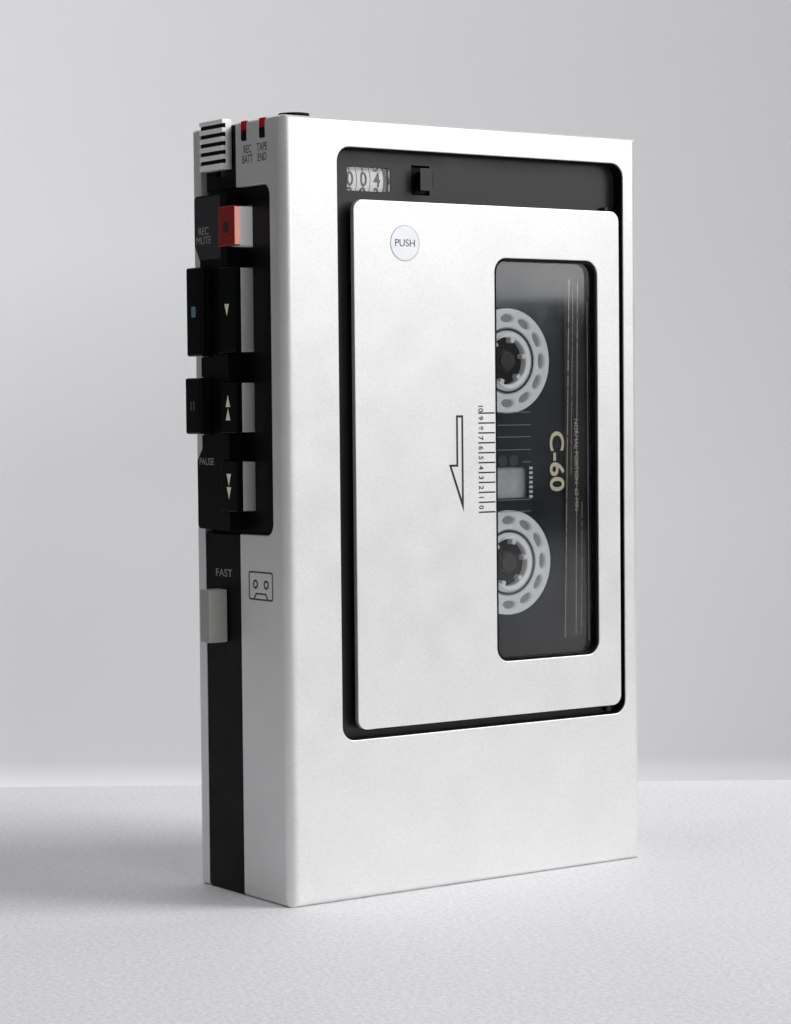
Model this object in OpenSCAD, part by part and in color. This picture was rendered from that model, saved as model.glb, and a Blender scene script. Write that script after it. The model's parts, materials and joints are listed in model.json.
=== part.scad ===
// Pocket cassette recorder with a side-hinged cassette door and a row of side keys.
// X runs across the front, the keys are on the -X side, the door faces -Y, and +Z is up.
// The modules are laid out from the lower left front corner of the case, and place() centres them.

/* [Case] */
// Width of the case
body_w = 91.2; // [91:0.1:91.4]
// Depth of the case
body_d = 35; // [35:0.5:36]
// Height of the case
body_h = 156; // [156:0.5:158]
// Radius of the upright front edges
front_edge_r = 2.3; // [1.5:0.1:2.6]
// Depth of the front shell
front_shell_d = 17.5; // [17.4:0.05:17.5]
// Front of the back shell
back_shell_y = 31.1; // [31.1:0.05:31.3]
// Wall of the silver shells
shell_t = 1.6; // [1.4:0.1:1.6]
// Wall of the black middle frame
frame_t = 2.2; // [2:0.1:2.3]

/* [Door] */
// Left, bottom, right and top edges of the recess in the front
recess = [12.7, 32.1, 86.7, 150.4];
// Corner radius of the recess
recess_r = 3; // [2:0.5:4]
// Left, bottom, right and top edges of the door panel
door = [16.5, 34.0, 85.5, 140.1];
// Corner radius of the door panel
door_r = 2.2; // [1:0.2:3]
// Thickness of the door panel
door_t = 1.2; // [1:0.1:1.2]
// Left, bottom, right and top edges of the window
window = [51.8, 45.4, 79.4, 129.4];
// Corner radius of the window
window_r = 3; // [1:0.5:4]
// Hinge line of the door: distance from the left side and from the front
hinge_at = [83.4, 2.2];
// Radius of the hinge pins
hinge_pin_r = 0.7; // [0.6:0.05:0.7]

/* [Cassette] */
// Length of the cassette
cassette_l = 100.4; // [100.4:0.1:100.4]
// Height of the cassette, from tape edge to label edge
cassette_h = 63.8; // [63.8:0.1:63.8]
// Thickness of the cassette
cassette_t = 8.7; // [8.7:0.1:8.7]
// Thickness at the tape edge
cassette_edge_t = 12; // [12:0.1:12]
// Distance between the two hubs
hub_gap = 42.5; // [42.5:0.1:42.5]
// Outer radius of a hub
hub_r = 11; // [10:0.5:11]
// Radius of the tape left on the supply hub
supply_pack_r = 22; // [14:1:23]
// Radius of the tape on the take-up hub
takeup_pack_r = 12.2; // [11.5:0.1:14]

/* [Keys] */
// Travel of a key
key_travel = 2.2; // [1.5:0.1:2.2]
// Gap around a key in the bezel
key_gap = 0.2; // [0.15:0.05:0.3]

/* [Drive] */
// Radius of the flywheel
flywheel_r = 13; // [12:0.5:13]
// Radius of the capstan
capstan_r = 1; // [0.9:0.05:1]
// Radius of each reel table
reel_table_r = 9; // [8:0.5:9]
// Radius of the motor
motor_r = 8; // [7:0.5:8]
// Running gap between a shaft and its bearing
running_gap = 0.06; // [0.03:0.01:0.09]

/* [Power] */
// Radius of a battery cell
cell_r = 7.25; // [7:0.05:7.25]
// Length of a battery cell
cell_l = 50.5; // [49.5:0.5:50.5]
// Radius of an earphone plug hole
plug_r = 1.8; // [1.75:0.05:1.9]

/* [Hidden] */
$fn = 64;

over = 1;
edge_r = 1.2;
back_edge_r = 1.5;
corner_r = 0.9;
panel_t = 1.5;
frame_inset = 0.15;

well_y = 2.9;
well_plate_t = 1.2;
well_floor_y = 13.9;
well_wall_t = 1.1;
well_in = [16.0, 33.4, 87.0, 140.3];
cover_x = 19.6;

cas_y = 7.55;
cas_front = cas_y - cassette_t / 2;
cas_back = cas_y + cassette_t / 2;
cas_x = 22.6;
cas_z = 86.95;
cas_wall = 1.0;
hub_x = cas_x + 36;
supply_z = cas_z + hub_gap / 2;
takeup_z = cas_z - hub_gap / 2;
hub_bore_r = 5;
hub_boss_r = 5.5;
hub_hole_r = 5.8;
tape_w = 3.8;
tape_x = 25.2;
tape_t = 0.1;
roller_at = [27.7, 41.6];
roller_r = 2.4;
capstan_dz = 20.5;
capstan_at = [26.3, cas_z - capstan_dz];

chassis_y = 15.2;
chassis_t = 1.0;
drive_y = 17.0;
reel_gap = 0.08;
idler_r = (hub_x - capstan_at.x - flywheel_r - reel_table_r) / 2 - reel_gap;
idler_at = [capstan_at.x + flywheel_r + reel_gap + idler_r, (capstan_at.y + takeup_z) / 2];
motor_at = [24, 42.7];
belt_y = 18.2;
pinch_pivot = [16.7, 51.5];
pinch_roller_r = 4.0;
pinch_reach = 14.9;

front_row_y = [14.5, 20.5];
back_row_y = [24.7, 30.6];
record_z = [131.2, 139.2];
play_z = [109.9, 127.0];
rewind_z = [93.8, 104.0];
forward_z = [78.0, 88.2];
stop_z = [109.4, 127.4];
pause_z = [93.6, 105.0];
front_key_x = -2.5;
stop_key_x = -4.2;
pause_key_x = -4.7;
key_cap_t = 1.6;
key_body_end = 6.5;
key_tail_end = 9.5;
bezel_floor_x = 1.8;
bay = [5.1, 73.4, 20, 143];
bay_r = 2.5;
plate_x = -1.7;

counter_axis = [9.3, 144.45];
counter_r = 5.0;
counter_w = 3.1;
counter_pitch = 3.3;
counter_x = 17.1;
counter_view = [17.0, 142.0, 27.6, 146.9];
counter_shaft_r = 0.8;

battery_y = 25.85;
cell_z = [10.85, 25.75];
cell_x = 19.6;
cell_tip = 1;
cell_tip_r = 2.7;
battery_in = [17.0, 3.4, 73.0, 33.2];
battery_wall = 0.9;
battery_floor_y = 18.3;
battery_door_at = [16, 74];
battery_door_h = 34.2;
battery_door_y = 33.55;
contact_t = 0.4;
contact_half = [5, 6];
spring_r = 3;
plate_button_r = 2;
speaker_at = [60, 126];
speaker_r = 19;
grille_pitch = 3;
grille_slot = 1.2;
jack_y = 24;
jack_x = body_w - 9.4;
jack_z = [143, 130];
dc_jack_z = 112;
jack_rim_r = 3.0;
dc_rim_r = 3.6;
dc_hole_r = 2.75;
jack_rise = 0.2;
screw_at = [[6, 6], [84, 6], [12.5, 150.4], [84, 150.4]];
screw_post_r = 2.6;
screw_post_y = 24;
screw_r = 1.0;
screw_head_r = 2.2;
screw_head_y = 34.0;
screw_head_t = 0.9;
led_y = [6.7, 13.5];
led_w = 2.0;
led_z = 152.1;
led_in = 3.1;
fit_gap = 0.1;
slider_stem_end = 5.0;
volume_slot = [23.9, 145.8, 27.1, 153.2];
speed_slot = [23.6, 52.7, 25.4, 60.2];
mic_at = [6.8, 6.4];
mic_r = 3.1;
mic_rise = 0.95;

// Centres the case on the origin, with its base at zero.
module place() {
    translate([-body_w / 2, -body_d / 2, 0]) children();
}

// Box between two corners.
module block(lo, hi) {
    translate(lo) cube([hi.x - lo.x, hi.y - lo.y, hi.z - lo.z]);
}

// Rounded rectangle between two corners, rounded by circles.
module round_rect(x0, z0, x1, z1, r) {
    translate([x0 + r, z0]) square([x1 - x0 - 2 * r, z1 - z0]);
    translate([x0, z0 + r]) square([x1 - x0, z1 - z0 - 2 * r]);
    for (x = [x0 + r, x1 - r], z = [z0 + r, z1 - r]) {
        translate([x, z]) circle(r = r);
    }
}

// Stands a front outline (x, z) between two depths.
module slab(y0, y1) {
    translate([0, y1, 0]) rotate([90, 0, 0]) linear_extrude(y1 - y0) children();
}

// Stands a side outline (y, z) between two widths.
module side_slab(x0, x1) {
    translate([x0, 0, 0]) rotate([90, 0, 90]) linear_extrude(x1 - x0) children();
}

// Disc or shaft along the depth.
module shaft_y(at, r, y0, y1) {
    translate([at.x, y0, at.y]) rotate([-90, 0, 0]) cylinder(r = r, h = y1 - y0);
}

// Disc or shaft along the width, placed by depth and height.
module shaft_x(at, r, x0, x1) {
    translate([x0, at.x, at.y]) rotate([0, 90, 0]) cylinder(r = r, h = x1 - x0);
}

// Case -------------------------------------------------------------------

// Plan of the front shell: two round front edges.
module front_plan() {
    r = front_edge_r;
    translate([r, 0]) square([body_w - 2 * r, front_shell_d]);
    translate([0, r]) square([body_w, front_shell_d - r]);
    for (x = [r, body_w - r]) {
        translate([x, r]) circle(r = r);
    }
}

// Side outline of the front shell: small radii at the top and bottom front edges.
module front_profile() {
    translate([edge_r, 0]) square([front_shell_d - edge_r, body_h]);
    translate([0, edge_r]) square([front_shell_d, body_h - 2 * edge_r]);
    for (z = [edge_r, body_h - edge_r]) {
        translate([edge_r, z]) circle(r = edge_r);
    }
}

// Block of the case between two depths, with small radii along its four long corners.
module case_block(y0, y1) {
    slab(y0, y1) round_rect(0, 0, body_w, body_h, corner_r);
}

module front_shell() {
    color("gainsboro") difference() {
        intersection() {
            linear_extrude(body_h) front_plan();
            side_slab(0, body_w) front_profile();
            case_block(0, front_shell_d);
        }
        block([shell_t, panel_t, shell_t], [body_w - shell_t, front_shell_d + over, body_h - shell_t]);
        slab(-over, panel_t + over) round_rect(recess.x, recess.y, recess.z, recess[3], recess_r);
        side_slab(-over, shell_t + over) round_rect(bay.x, bay.y, bay.z, bay[3], bay_r);
        for (y = led_y) {
            block([-over, y - fit_gap, led_z - fit_gap], [led_in + fit_gap, y + led_w + fit_gap, body_h + over]);
        }
        translate([mic_at.x, mic_at.y, body_h - shell_t - over])
            cylinder(r = mic_r + fit_gap, h = shell_t + 2 * over);
    }
}

module center_frame() {
    y0 = front_shell_d;
    y1 = back_shell_y;
    lo = frame_inset;
    hi_x = body_w - frame_inset;
    hi_z = body_h - frame_inset;
    color([0.09, 0.1, 0.11]) difference() {
        slab(y0, y1) round_rect(lo, lo, hi_x, hi_z, 0.8);
        block([lo + frame_t, y0 - over, lo + frame_t],
              [hi_x - frame_t, y1 + over, hi_z - frame_t]);
        block([-over, y0 - over, bay.y - 0.2], [bezel_floor_x, y1 + over, bay[3] + 0.2]);
        block([bezel_floor_x - 0.2, y0 - over, bay.y - 1.4], [lo + frame_t + over, y1 + over, bay[3] + 1.4]);
        block([-over, y0 + 0.9, bay[3] - over], [1.4, y1 + over, body_h + over]);
        for (slot = [volume_slot, speed_slot]) {
            block([-over, slot.x, slot.y], [lo + frame_t + over, slot.z, slot[3]]);
        }
        for (z = jack_z) {
            shaft_x([jack_y, z], jack_rim_r + fit_gap / 2, body_w - frame_t - over, body_w + over);
        }
        shaft_x([jack_y, dc_jack_z], dc_rim_r + fit_gap / 2, body_w - frame_t - over, body_w + over);
    }
}

// Side outline of the back shell: round back edges.
module back_profile() {
    r = back_edge_r;
    translate([back_shell_y, 0]) square([body_d - back_shell_y - r, body_h]);
    translate([back_shell_y, r]) square([body_d - back_shell_y, body_h - 2 * r]);
    for (z = [r, body_h - r]) {
        translate([body_d - r, z]) circle(r = r);
    }
}

// Plan of the back shell: round upright back edges.
module back_plan() {
    r = back_edge_r;
    translate([0, back_shell_y]) square([body_w, body_d - back_shell_y - r]);
    translate([r, back_shell_y]) square([body_w - 2 * r, body_d - back_shell_y]);
    for (x = [r, body_w - r]) {
        translate([x, body_d - r]) circle(r = r);
    }
}

// Room for the two cells up to a depth, grown on its other five sides.
module battery_room(grow, back_y) {
    block([battery_in.x - grow, battery_floor_y - grow, battery_in.y - grow],
          [battery_in.z + grow, back_y, battery_in[3] + grow]);
}

module back_shell() {
    color("silver") difference() {
        union() {
            difference() {
                intersection() {
                    linear_extrude(body_h) back_plan();
                    side_slab(0, body_w) back_profile();
                    case_block(back_shell_y, body_d);
                }
                block([shell_t, back_shell_y - over, shell_t],
                      [body_w - shell_t, body_d - shell_t, body_h - shell_t]);
            }
            battery_room(battery_wall, body_d - shell_t - 0.1);
            for (at = screw_at) {
                shaft_y(at, screw_post_r, screw_post_y, body_d - shell_t + 0.1);
            }
        }
        battery_room(0, body_d + over);
        block([battery_door_at.x - 0.2, battery_door_y - 0.05, -over],
              [battery_door_at.y + 0.2, body_d + over, battery_door_h + 0.2]);
        for (row = [-5 : 5]) {
            rise = row * grille_pitch;
            half = sqrt(speaker_r * speaker_r * 0.8 - rise * rise);
            block([speaker_at.x - half, body_d - shell_t - over, speaker_at.y + rise - grille_slot / 2],
                  [speaker_at.x + half, body_d + over, speaker_at.y + rise + grille_slot / 2]);
        }
        for (at = screw_at) {
            shaft_y(at, screw_r + 0.05, screw_post_y - over, body_d);
            shaft_y(at, screw_head_r + 0.2, screw_head_y, body_d + over);
        }
    }
}

module battery_door() {
    groove = [37, 53];
    groove_t = 1;
    color("silver") difference() {
        block([battery_door_at.x, battery_door_y, 0], [battery_door_at.y, body_d, battery_door_h]);
        for (z = [18 : 2 * groove_t : 26]) {
            block([groove.x, body_d - 0.6, z], [groove.y, body_d + over, z + groove_t]);
        }
    }
}

// Raised label plates of the key bezel, as seen from the side.
module plate_outline() {
    polygon([[18.6, 74.2], [31.0, 74.2], [31.0, 88.2], [29.0, 90.6], [29.0, 128.8],
             [31.0, 132.0], [31.0, 142.0], [18.6, 142.0]]);
}

// Slot for one key through the bezel.
module key_slot(y, z, x1) {
    g = key_gap;
    block([-over - 5, y[0] - g, z[0] - g], [x1, y[1] + g, z[1] + g]);
}

module key_bezel() {
    color([0.1, 0.11, 0.12]) difference() {
        union() {
            block([bezel_floor_x, 4.0, 72.3], [bezel_floor_x + 1, 30.9, 144.0]);
            side_slab(plate_x, bezel_floor_x) plate_outline();
        }
        for (z = [record_z, play_z, rewind_z, forward_z]) {
            key_slot(front_row_y, z, 4);
        }
        for (z = [stop_z, pause_z]) {
            key_slot(back_row_y, z, 4);
        }
    }
}

module case_screws() {
    color("dimgray") for (at = screw_at) {
        difference() {
            union() {
                shaft_y(at, screw_head_r, screw_head_y, screw_head_y + screw_head_t);
                shaft_y(at, screw_r, screw_post_y + 0.4, screw_head_y);
            }
            for (arm = [[1.3, 0.25], [0.25, 1.3]]) {
                block([at.x - arm.x, screw_head_y + 0.5, at.y - arm.y], [at.x + arm.x, body_d, at.y + arm.y]);
            }
        }
    }
}

module led_windows() {
    color([0.6, 0.05, 0.06]) for (y = led_y) {
        block([0.05, y, led_z], [led_in, y + led_w, body_h]);
    }
}

// Cassette compartment ------------------------------------------------------

module cassette_well() {
    w = well_wall_t;
    color([0.08, 0.085, 0.09]) difference() {
        union() {
            slab(panel_t, well_y + well_plate_t)
                round_rect(recess.x - 1.3, recess.y - 1.1, body_w - shell_t - 0.2, recess[3] + 1.2, recess_r);
            block([well_in.x - w, well_y, well_in.y - w],
                  [well_in.z + w, well_floor_y + w, well_in[3] + 0.8]);
        }
        slab(panel_t - over, well_y) round_rect(recess.x, recess.y, recess.z, recess[3], recess_r);
        block([well_in.x, well_y + well_plate_t, well_in.y], [well_in.z, well_floor_y, well_in[3]]);
        block([cover_x, well_y - over, well_in.y], [well_in.z, well_y + well_plate_t + over, well_in[3]]);
        block([17.2, well_y - over, 129.3], [cover_x + over, well_y + well_plate_t + over, 134.1]);
        block([well_in.x - w - over, well_y + well_plate_t + 0.2, 46], [24.5, well_floor_y + w + over, 128]);
        for (z = [supply_z, takeup_z]) {
            shaft_y([hub_x, z], 5.2, well_floor_y - over, well_floor_y + w + over);
        }
        shaft_y(capstan_at, 3.6, well_floor_y - over, well_floor_y + w + over);
        block([counter_view.x, well_y - over, counter_view.y],
              [counter_view.z, well_y + well_plate_t + over, counter_view[3]]);
        block([counter_x - 0.2, well_y + well_plate_t, counter_axis.y - counter_r - 0.4],
              [counter_x + 9.9, well_floor_y + w + over, well_in[3] + 0.8]);
        block([32.8, well_y - over, 141.8], [37.4, well_y + well_plate_t + over, 147.8]);
        translate([hinge_at.x, hinge_at.y, well_in.y - 0.8]) cylinder(r = hinge_pin_r, h = 2);
        translate([hinge_at.x, hinge_at.y, well_in[3] - over]) cylinder(r = hinge_pin_r, h = 3);
    }
}

module hinge_pins() {
    color([0.2, 0.2, 0.21]) for (z = [[well_in.y - 0.8, 36.1], [137.9, well_in[3] + 0.8]]) {
        translate([hinge_at.x, hinge_at.y, z[0]]) cylinder(r = hinge_pin_r, h = z[1] - z[0]);
    }
}

module door_catch() {
    color("lightgray") block([well_in.x, 5.2, 130], [well_in.x + 0.8, 8.2, 133.4]);
}

module door_panel() {
    color("gainsboro") slab(0, door_t) difference() {
        round_rect(door.x, door.y, door.z, door[3], door_r);
        round_rect(window.x, window.y, window.z, window[3], window_r);
    }
}

// Carrier behind the door panel, with the rails that hold the cassette.
module door_holder() {
    back = door_t + 1.8;
    rail_x = [40, 84.6];
    color([0.07, 0.075, 0.08]) difference() {
        union() {
            slab(door_t, door_t + 0.3) round_rect(17.4, 34.4, 84.9, 139.7, 1.5);
            slab(door_t, back) round_rect(38.4, 34.4, 84.9, 139.7, 1.5);
            for (side = [-1, 1]) {
                wall = cas_z + side * (cassette_l / 2 + 0.25 + 0.6);
                lip = cas_z + side * (cassette_l / 2 - 1.0);
                block([rail_x[0], back - 0.2, wall - 0.6], [rail_x[1], 12.9, wall + 0.6]);
                block([rail_x[0], 12.1, lip - 1.3], [rail_x[1], 12.9, lip + 1.3]);
            }
            block([82.0, door_t, 34.4], [84.7, 3.6, 36.4]);
            block([82.0, door_t, 137.5], [84.7, 3.6, 139.7]);
            block([17.5, door_t, 129.8], [18.5, 5.4, 133.6]);
        }
        slab(door_t - over, back + over) round_rect(window.x, window.y, window.z, window[3], window_r);
        slab(door_t - over, door_t + 0.85)
            round_rect(window.x - 1, window.y - 1, window.z + 1, window[3] + 1, window_r + 1);
        for (z = [33.9, 137.5]) {
            translate([hinge_at.x, hinge_at.y, z]) cylinder(r = hinge_pin_r + running_gap, h = 2.6);
        }
    }
}

module window_pane() {
    color([0.8, 0.85, 0.9, 0.35]) slab(door_t, door_t + 0.8)
        round_rect(window.x - 0.95, window.y - 0.95, window.z + 0.95, window[3] + 0.95, window_r + 0.9);
}

// Cassette ---------------------------------------------------------------

// Outline of the cassette.
module cassette_outline() {
    round_rect(cas_x, cas_z - cassette_l / 2, cas_x + cassette_h, cas_z + cassette_l / 2, 1.2);
}

// Thick part along the tape edge.
module thick_outline() {
    translate([0, cas_z]) polygon([[cas_x, -33.2], [cas_x + 15.2, -31.2], [cas_x + 15.2, 31.2], [cas_x, 33.2]]);
}

// Whole outside of the cassette.
module cassette_solid() {
    slab(cas_front, cas_back) cassette_outline();
    slab(cas_y - cassette_edge_t / 2, cas_y + cassette_edge_t / 2) thick_outline();
}

// Everything that is hollow or drilled in the cassette.
module cassette_hollow() {
    y0 = cas_front + cas_wall;
    y1 = cas_back - cas_wall;
    front = cas_y - cassette_edge_t / 2 - over;
    back = cas_y + cassette_edge_t / 2 + over;
    half = cassette_l / 2 - 1.5;
    slab(y0, y1) round_rect(30, cas_z - half, cas_x + cassette_h - 1.4, cas_z + half, 1.5);
    for (z = [supply_z, takeup_z]) {
        shaft_y([hub_x, z], hub_hole_r, front, back);
    }
    for (side = [-1, 1]) {
        shaft_y([capstan_at.x + 0.2, cas_z + side * capstan_dz], 3, front, back);
        block([cas_x - over, 4.0, cas_z + side * capstan_dz - 5.6],
              [30 + over, 11.1, cas_z + side * capstan_dz + 5.6]);
        block([23.6, y0, cas_z + side * 41.8 - 4.8], [30 + over, y1, cas_z + side * 41.8 + 4.8]);
    }
    block([cas_x - over, 4.0, cas_z - 11], [30 + over, 11.1, cas_z + 11]);
    block([tape_x - 0.4, cas_y - 2.1, cas_z - 42], [tape_x + 0.6, cas_y + 2.1, cas_z + 42]);
    for (at = cassette_screw_at()) {
        shaft_y(at, 0.8, cas_y - 3.3, back);
        shaft_y(at, 1.45, cas_back - 0.8, back);
    }
}

function cassette_screw_at() = [
    for (z = [cas_z - 48.3, cas_z + 48.3], x = [cas_x + 2.2, cas_x + cassette_h - 2.2]) [x, z]
];

module cassette_front_half() {
    color([0.25, 0.27, 0.3, 0.4]) difference() {
        cassette_solid();
        cassette_hollow();
        block([0, cas_y, 0], [body_w, body_d, body_h]);
    }
}

module cassette_back_half() {
    color([0.25, 0.27, 0.3, 0.4]) difference() {
        cassette_solid();
        cassette_hollow();
        block([0, -over, 0], [body_w, cas_y, body_h]);
    }
}

// Toothed hub that the tape is wound on.
module hub(z) {
    color("white") translate([hub_x, cas_y, z]) rotate([-90, 0, 0]) difference() {
        union() {
            translate([0, 0, -tape_w / 2]) cylinder(r = hub_r, h = tape_w);
            translate([0, 0, -cassette_t / 2 + 0.3]) cylinder(r = hub_boss_r, h = cassette_t - 0.6);
        }
        difference() {
            translate([0, 0, -cassette_t]) cylinder(r = hub_bore_r, h = 2 * cassette_t);
            for (tooth = [0 : 5]) {
                rotate(tooth * 60) translate([4.0, -0.7, -2.6]) cube([2, 1.4, 6.0]);
            }
        }
        for (scallop = [0 : 11]) {
            rotate(scallop * 30 + 15) translate([8.4, 0, -tape_w]) cylinder(r = 1.35, h = tape_w - 0.6 + tape_w / 2);
        }
    }
}

module supply_hub() {
    hub(supply_z);
}

module takeup_hub() {
    hub(takeup_z);
}

// Ring of wound tape.
module tape_pack(z, r) {
    color([0.16, 0.11, 0.09]) difference() {
        shaft_y([hub_x, z], r, cas_y - tape_w / 2, cas_y + tape_w / 2);
        shaft_y([hub_x, z], hub_r + 0.02, cas_y - tape_w, cas_y + tape_w);
    }
}

module supply_tape_pack() {
    tape_pack(supply_z, supply_pack_r);
}

module takeup_tape_pack() {
    tape_pack(takeup_z, takeup_pack_r);
}

// Straight piece of tape between two points (x, z), thickness towards the left of its run.
module ribbon(from, to) {
    run = to - from;
    slab(cas_y - tape_w / 2, cas_y + tape_w / 2) translate(from)
        rotate(atan2(run.y, run.x)) square([norm(run), tape_t]);
}

// Free tape from the supply pack over both rollers to the take-up pack.
module tape_run() {
    top = cas_z + roller_at.y + roller_r + 0.2;
    low = cas_z - roller_at.y - roller_r - 0.2;
    supply_from = [roller_at.x, top] - [hub_x, supply_z];
    supply_turn = atan2(supply_from.y, supply_from.x) - acos((supply_pack_r + 0.2) / norm(supply_from));
    supply_touch = [hub_x, supply_z] + (supply_pack_r + 0.2) * [cos(supply_turn), sin(supply_turn)];
    takeup_from = [roller_at.x, low - tape_t] - [hub_x, takeup_z];
    takeup_turn = atan2(takeup_from.y, takeup_from.x) + acos((takeup_pack_r + 0.4) / norm(takeup_from));
    takeup_touch = [hub_x, takeup_z] + (takeup_pack_r + 0.4) * [cos(takeup_turn), sin(takeup_turn)];
    color([0.2, 0.14, 0.1]) {
        block([tape_x - tape_t, cas_y - tape_w / 2, low], [tape_x, cas_y + tape_w / 2, top]);
        block([tape_x - tape_t, cas_y - tape_w / 2, top], [roller_at.x, cas_y + tape_w / 2, top + tape_t]);
        block([tape_x - tape_t, cas_y - tape_w / 2, low - tape_t], [roller_at.x, cas_y + tape_w / 2, low]);
        ribbon([roller_at.x - 0.1, top], supply_touch);
        ribbon([roller_at.x - 0.1, low - tape_t], takeup_touch);
    }
}

module pressure_pad() {
    face_x = tape_x + 0.1;
    leaf_x = face_x + 1.5;
    color("tan") block([face_x, cas_y - 1.9, cas_z - 2.4], [leaf_x, cas_y + 1.9, cas_z + 2.4]);
    color("goldenrod") block([leaf_x, cas_y - 1.9, cas_z - 9], [leaf_x + 0.25, cas_y + 1.9, cas_z + 9]);
}

module guide_rollers() {
    color("white") for (side = [-1, 1]) {
        shaft_y([roller_at.x, cas_z + side * roller_at.y], roller_r, cas_y - 2.2, cas_y + 2.2);
    }
}

module cassette_screws() {
    color("lightgray") for (at = cassette_screw_at()) {
        head_y = cas_back - 0.75;
        shaft_y(at, 0.75, cas_y - 3.2, head_y);
        shaft_y(at, 1.3, head_y, cas_back - 0.1);
    }
}

// Tape transport -----------------------------------------------------------

module chassis_plate() {
    y1 = chassis_y + chassis_t;
    color("darkgray") {
        difference() {
            slab(chassis_y, y1) round_rect(12.6, 35, 87.2, 143, 2);
            for (z = [supply_z, takeup_z]) {
                shaft_y([hub_x, z], 2.2 + running_gap, chassis_y - over, y1 + over);
            }
            shaft_y(capstan_at, 3, chassis_y - over, y1 + over);
            slab(chassis_y - over, y1 + over) round_rect(66, 72, 82, 102, 2);
            slab(chassis_y - over, y1 + over) round_rect(34, 120, 52, 138, 2);
        }
        shaft_y(pinch_pivot, 1.2, 9.4, chassis_y);
        for (x = [motor_at.x - 6, motor_at.x + 6]) {
            shaft_y([x, motor_at.y - 3], 1.0, y1, 20);
        }
        for (dz = [-14.5, 14.6]) {
            shaft_y([capstan_at.x, capstan_at.y + dz], 1.1, y1, 21.4);
        }
        for (z = [88, 141]) {
            shaft_y([38, z], 1.5, y1, 24.2);
        }
        shaft_y(idler_at, 1.0, y1, 20.6);
    }
}

module flywheel() {
    color("goldenrod") difference() {
        shaft_y(capstan_at, flywheel_r, drive_y, drive_y + 3.6);
        difference() {
            shaft_y(capstan_at, flywheel_r + over, belt_y - 0.3, belt_y + 1.3);
            shaft_y(capstan_at, flywheel_r - 0.7, belt_y - over, belt_y + 2);
        }
        shaft_y(capstan_at, capstan_r, drive_y - over, drive_y + 5);
        difference() {
            shaft_y(capstan_at, flywheel_r - 3, drive_y - over, drive_y + 0.8);
            shaft_y(capstan_at, 3, drive_y - 2, drive_y + 2);
        }
    }
}

module capstan() {
    color("lightgray") shaft_y(capstan_at, capstan_r, 5, 21.35);
}

module capstan_bearing() {
    color("peru") difference() {
        union() {
            shaft_y(capstan_at, 1.8, 14.0, chassis_y);
            shaft_y(capstan_at, 3, chassis_y, 16.8);
        }
        shaft_y(capstan_at, capstan_r + running_gap, 13, 18);
    }
}

module flywheel_bracket() {
    color("silver") slab(21.4, 22.4)
        round_rect(capstan_at.x - 3.3, capstan_at.y - 15.6, capstan_at.x + 3.3, capstan_at.y + 16.2, 1);
}

module motor() {
    color("lightsteelblue") difference() {
        union() {
            shaft_y(motor_at, motor_r, 20, 30.4);
            shaft_y(motor_at, 2.5, 30.4, 30.9);
        }
        shaft_y(motor_at, 0.75 + running_gap, 19, 29);
    }
}

module motor_pulley() {
    color("goldenrod") {
        difference() {
            shaft_y(motor_at, 3.2, 17.3, 19.6);
            difference() {
                shaft_y(motor_at, 4, belt_y - 0.3, belt_y + 1.1);
                shaft_y(motor_at, 2.5, belt_y - over, belt_y + 2);
            }
        }
        shaft_y(motor_at, 0.75, 19.6, 28);
    }
}

// Loop around the motor pulley and the flywheel.
module drive_belt() {
    wheel = flywheel_r - 0.7 + 0.15;
    pulley = 2.5 + 0.1;
    color([0.1, 0.1, 0.1]) slab(belt_y, belt_y + 0.8) difference() {
        hull() {
            translate(motor_at) circle(r = pulley + 0.8, $fn = 48);
            translate(capstan_at) circle(r = wheel + 0.8, $fn = 96);
        }
        hull() {
            translate(motor_at) circle(r = pulley, $fn = 48);
            translate(capstan_at) circle(r = wheel, $fn = 96);
        }
    }
}

module idler_wheel() {
    color([0.12, 0.12, 0.12]) difference() {
        shaft_y(idler_at, idler_r, drive_y + 0.2, drive_y + 0.9);
        shaft_y(idler_at, 1.0 + running_gap, drive_y - over, drive_y + 4);
    }
}

// Splined shaft with a reel table behind the chassis.
module spindle(z) {
    at = [hub_x, z];
    shaft_y(at, 1.9, 4.4, 5.2);
    shaft_y(at, 2.2, 5.2, 20);
    shaft_y(at, 4.2, 12.2, 14.8);
    shaft_y(at, reel_table_r, drive_y, 19.6);
    translate([at.x, 9.5, at.y]) rotate([-90, 0, 0]) for (fin = [0 : 2]) {
        rotate(fin * 120 + 30) translate([0, -0.4, 0]) cube([4.3, 0.8, 2.8]);
    }
}

module supply_spindle() {
    color([0.15, 0.15, 0.16]) spindle(supply_z);
}

module takeup_spindle() {
    color([0.15, 0.15, 0.16]) spindle(takeup_z);
}

module head_plate() {
    color("silver") difference() {
        slab(13.95, 14.95) round_rect(13.0, 57, 19.8, 121, 0.8);
        for (z = [76, 99]) {
            slab(13, 16) round_rect(14.2, z - 1.2, 18.8, z + 1.2, 1.1);
        }
    }
}

// Head block with a rounded face, on a foot that stands on the head plate.
module tape_head(z, half, face_x) {
    block([14.6, 10.6, z - half], [17.6, 13.95, z + half]);
    intersection() {
        block([14.6, 4.5, z - half], [face_x, 10.6, z + half]);
        shaft_y([face_x - 9, z], 9, 4, 11);
    }
}

module record_head() {
    color("silver") tape_head(cas_z, 6.2, 20.6);
}

module erase_head() {
    color([0.2, 0.2, 0.22]) tape_head(cas_z + capstan_dz, 3, 20.3);
}

module pinch_arm() {
    tip = pinch_pivot + [0, pinch_reach];
    color("darkgray") difference() {
        union() {
            shaft_y(pinch_pivot, 2.4, 9.8, 13.7);
            block([pinch_pivot.x - 1.6, 9.8, pinch_pivot.y], [pinch_pivot.x + 1.6, 10.8, tip.y]);
            shaft_y(tip, 1.6, 9.8, 10.8);
            shaft_y(tip, 0.8, 5.0, 9.8);
        }
        shaft_y(pinch_pivot, 1.2 + running_gap, 9, 14);
    }
}

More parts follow.
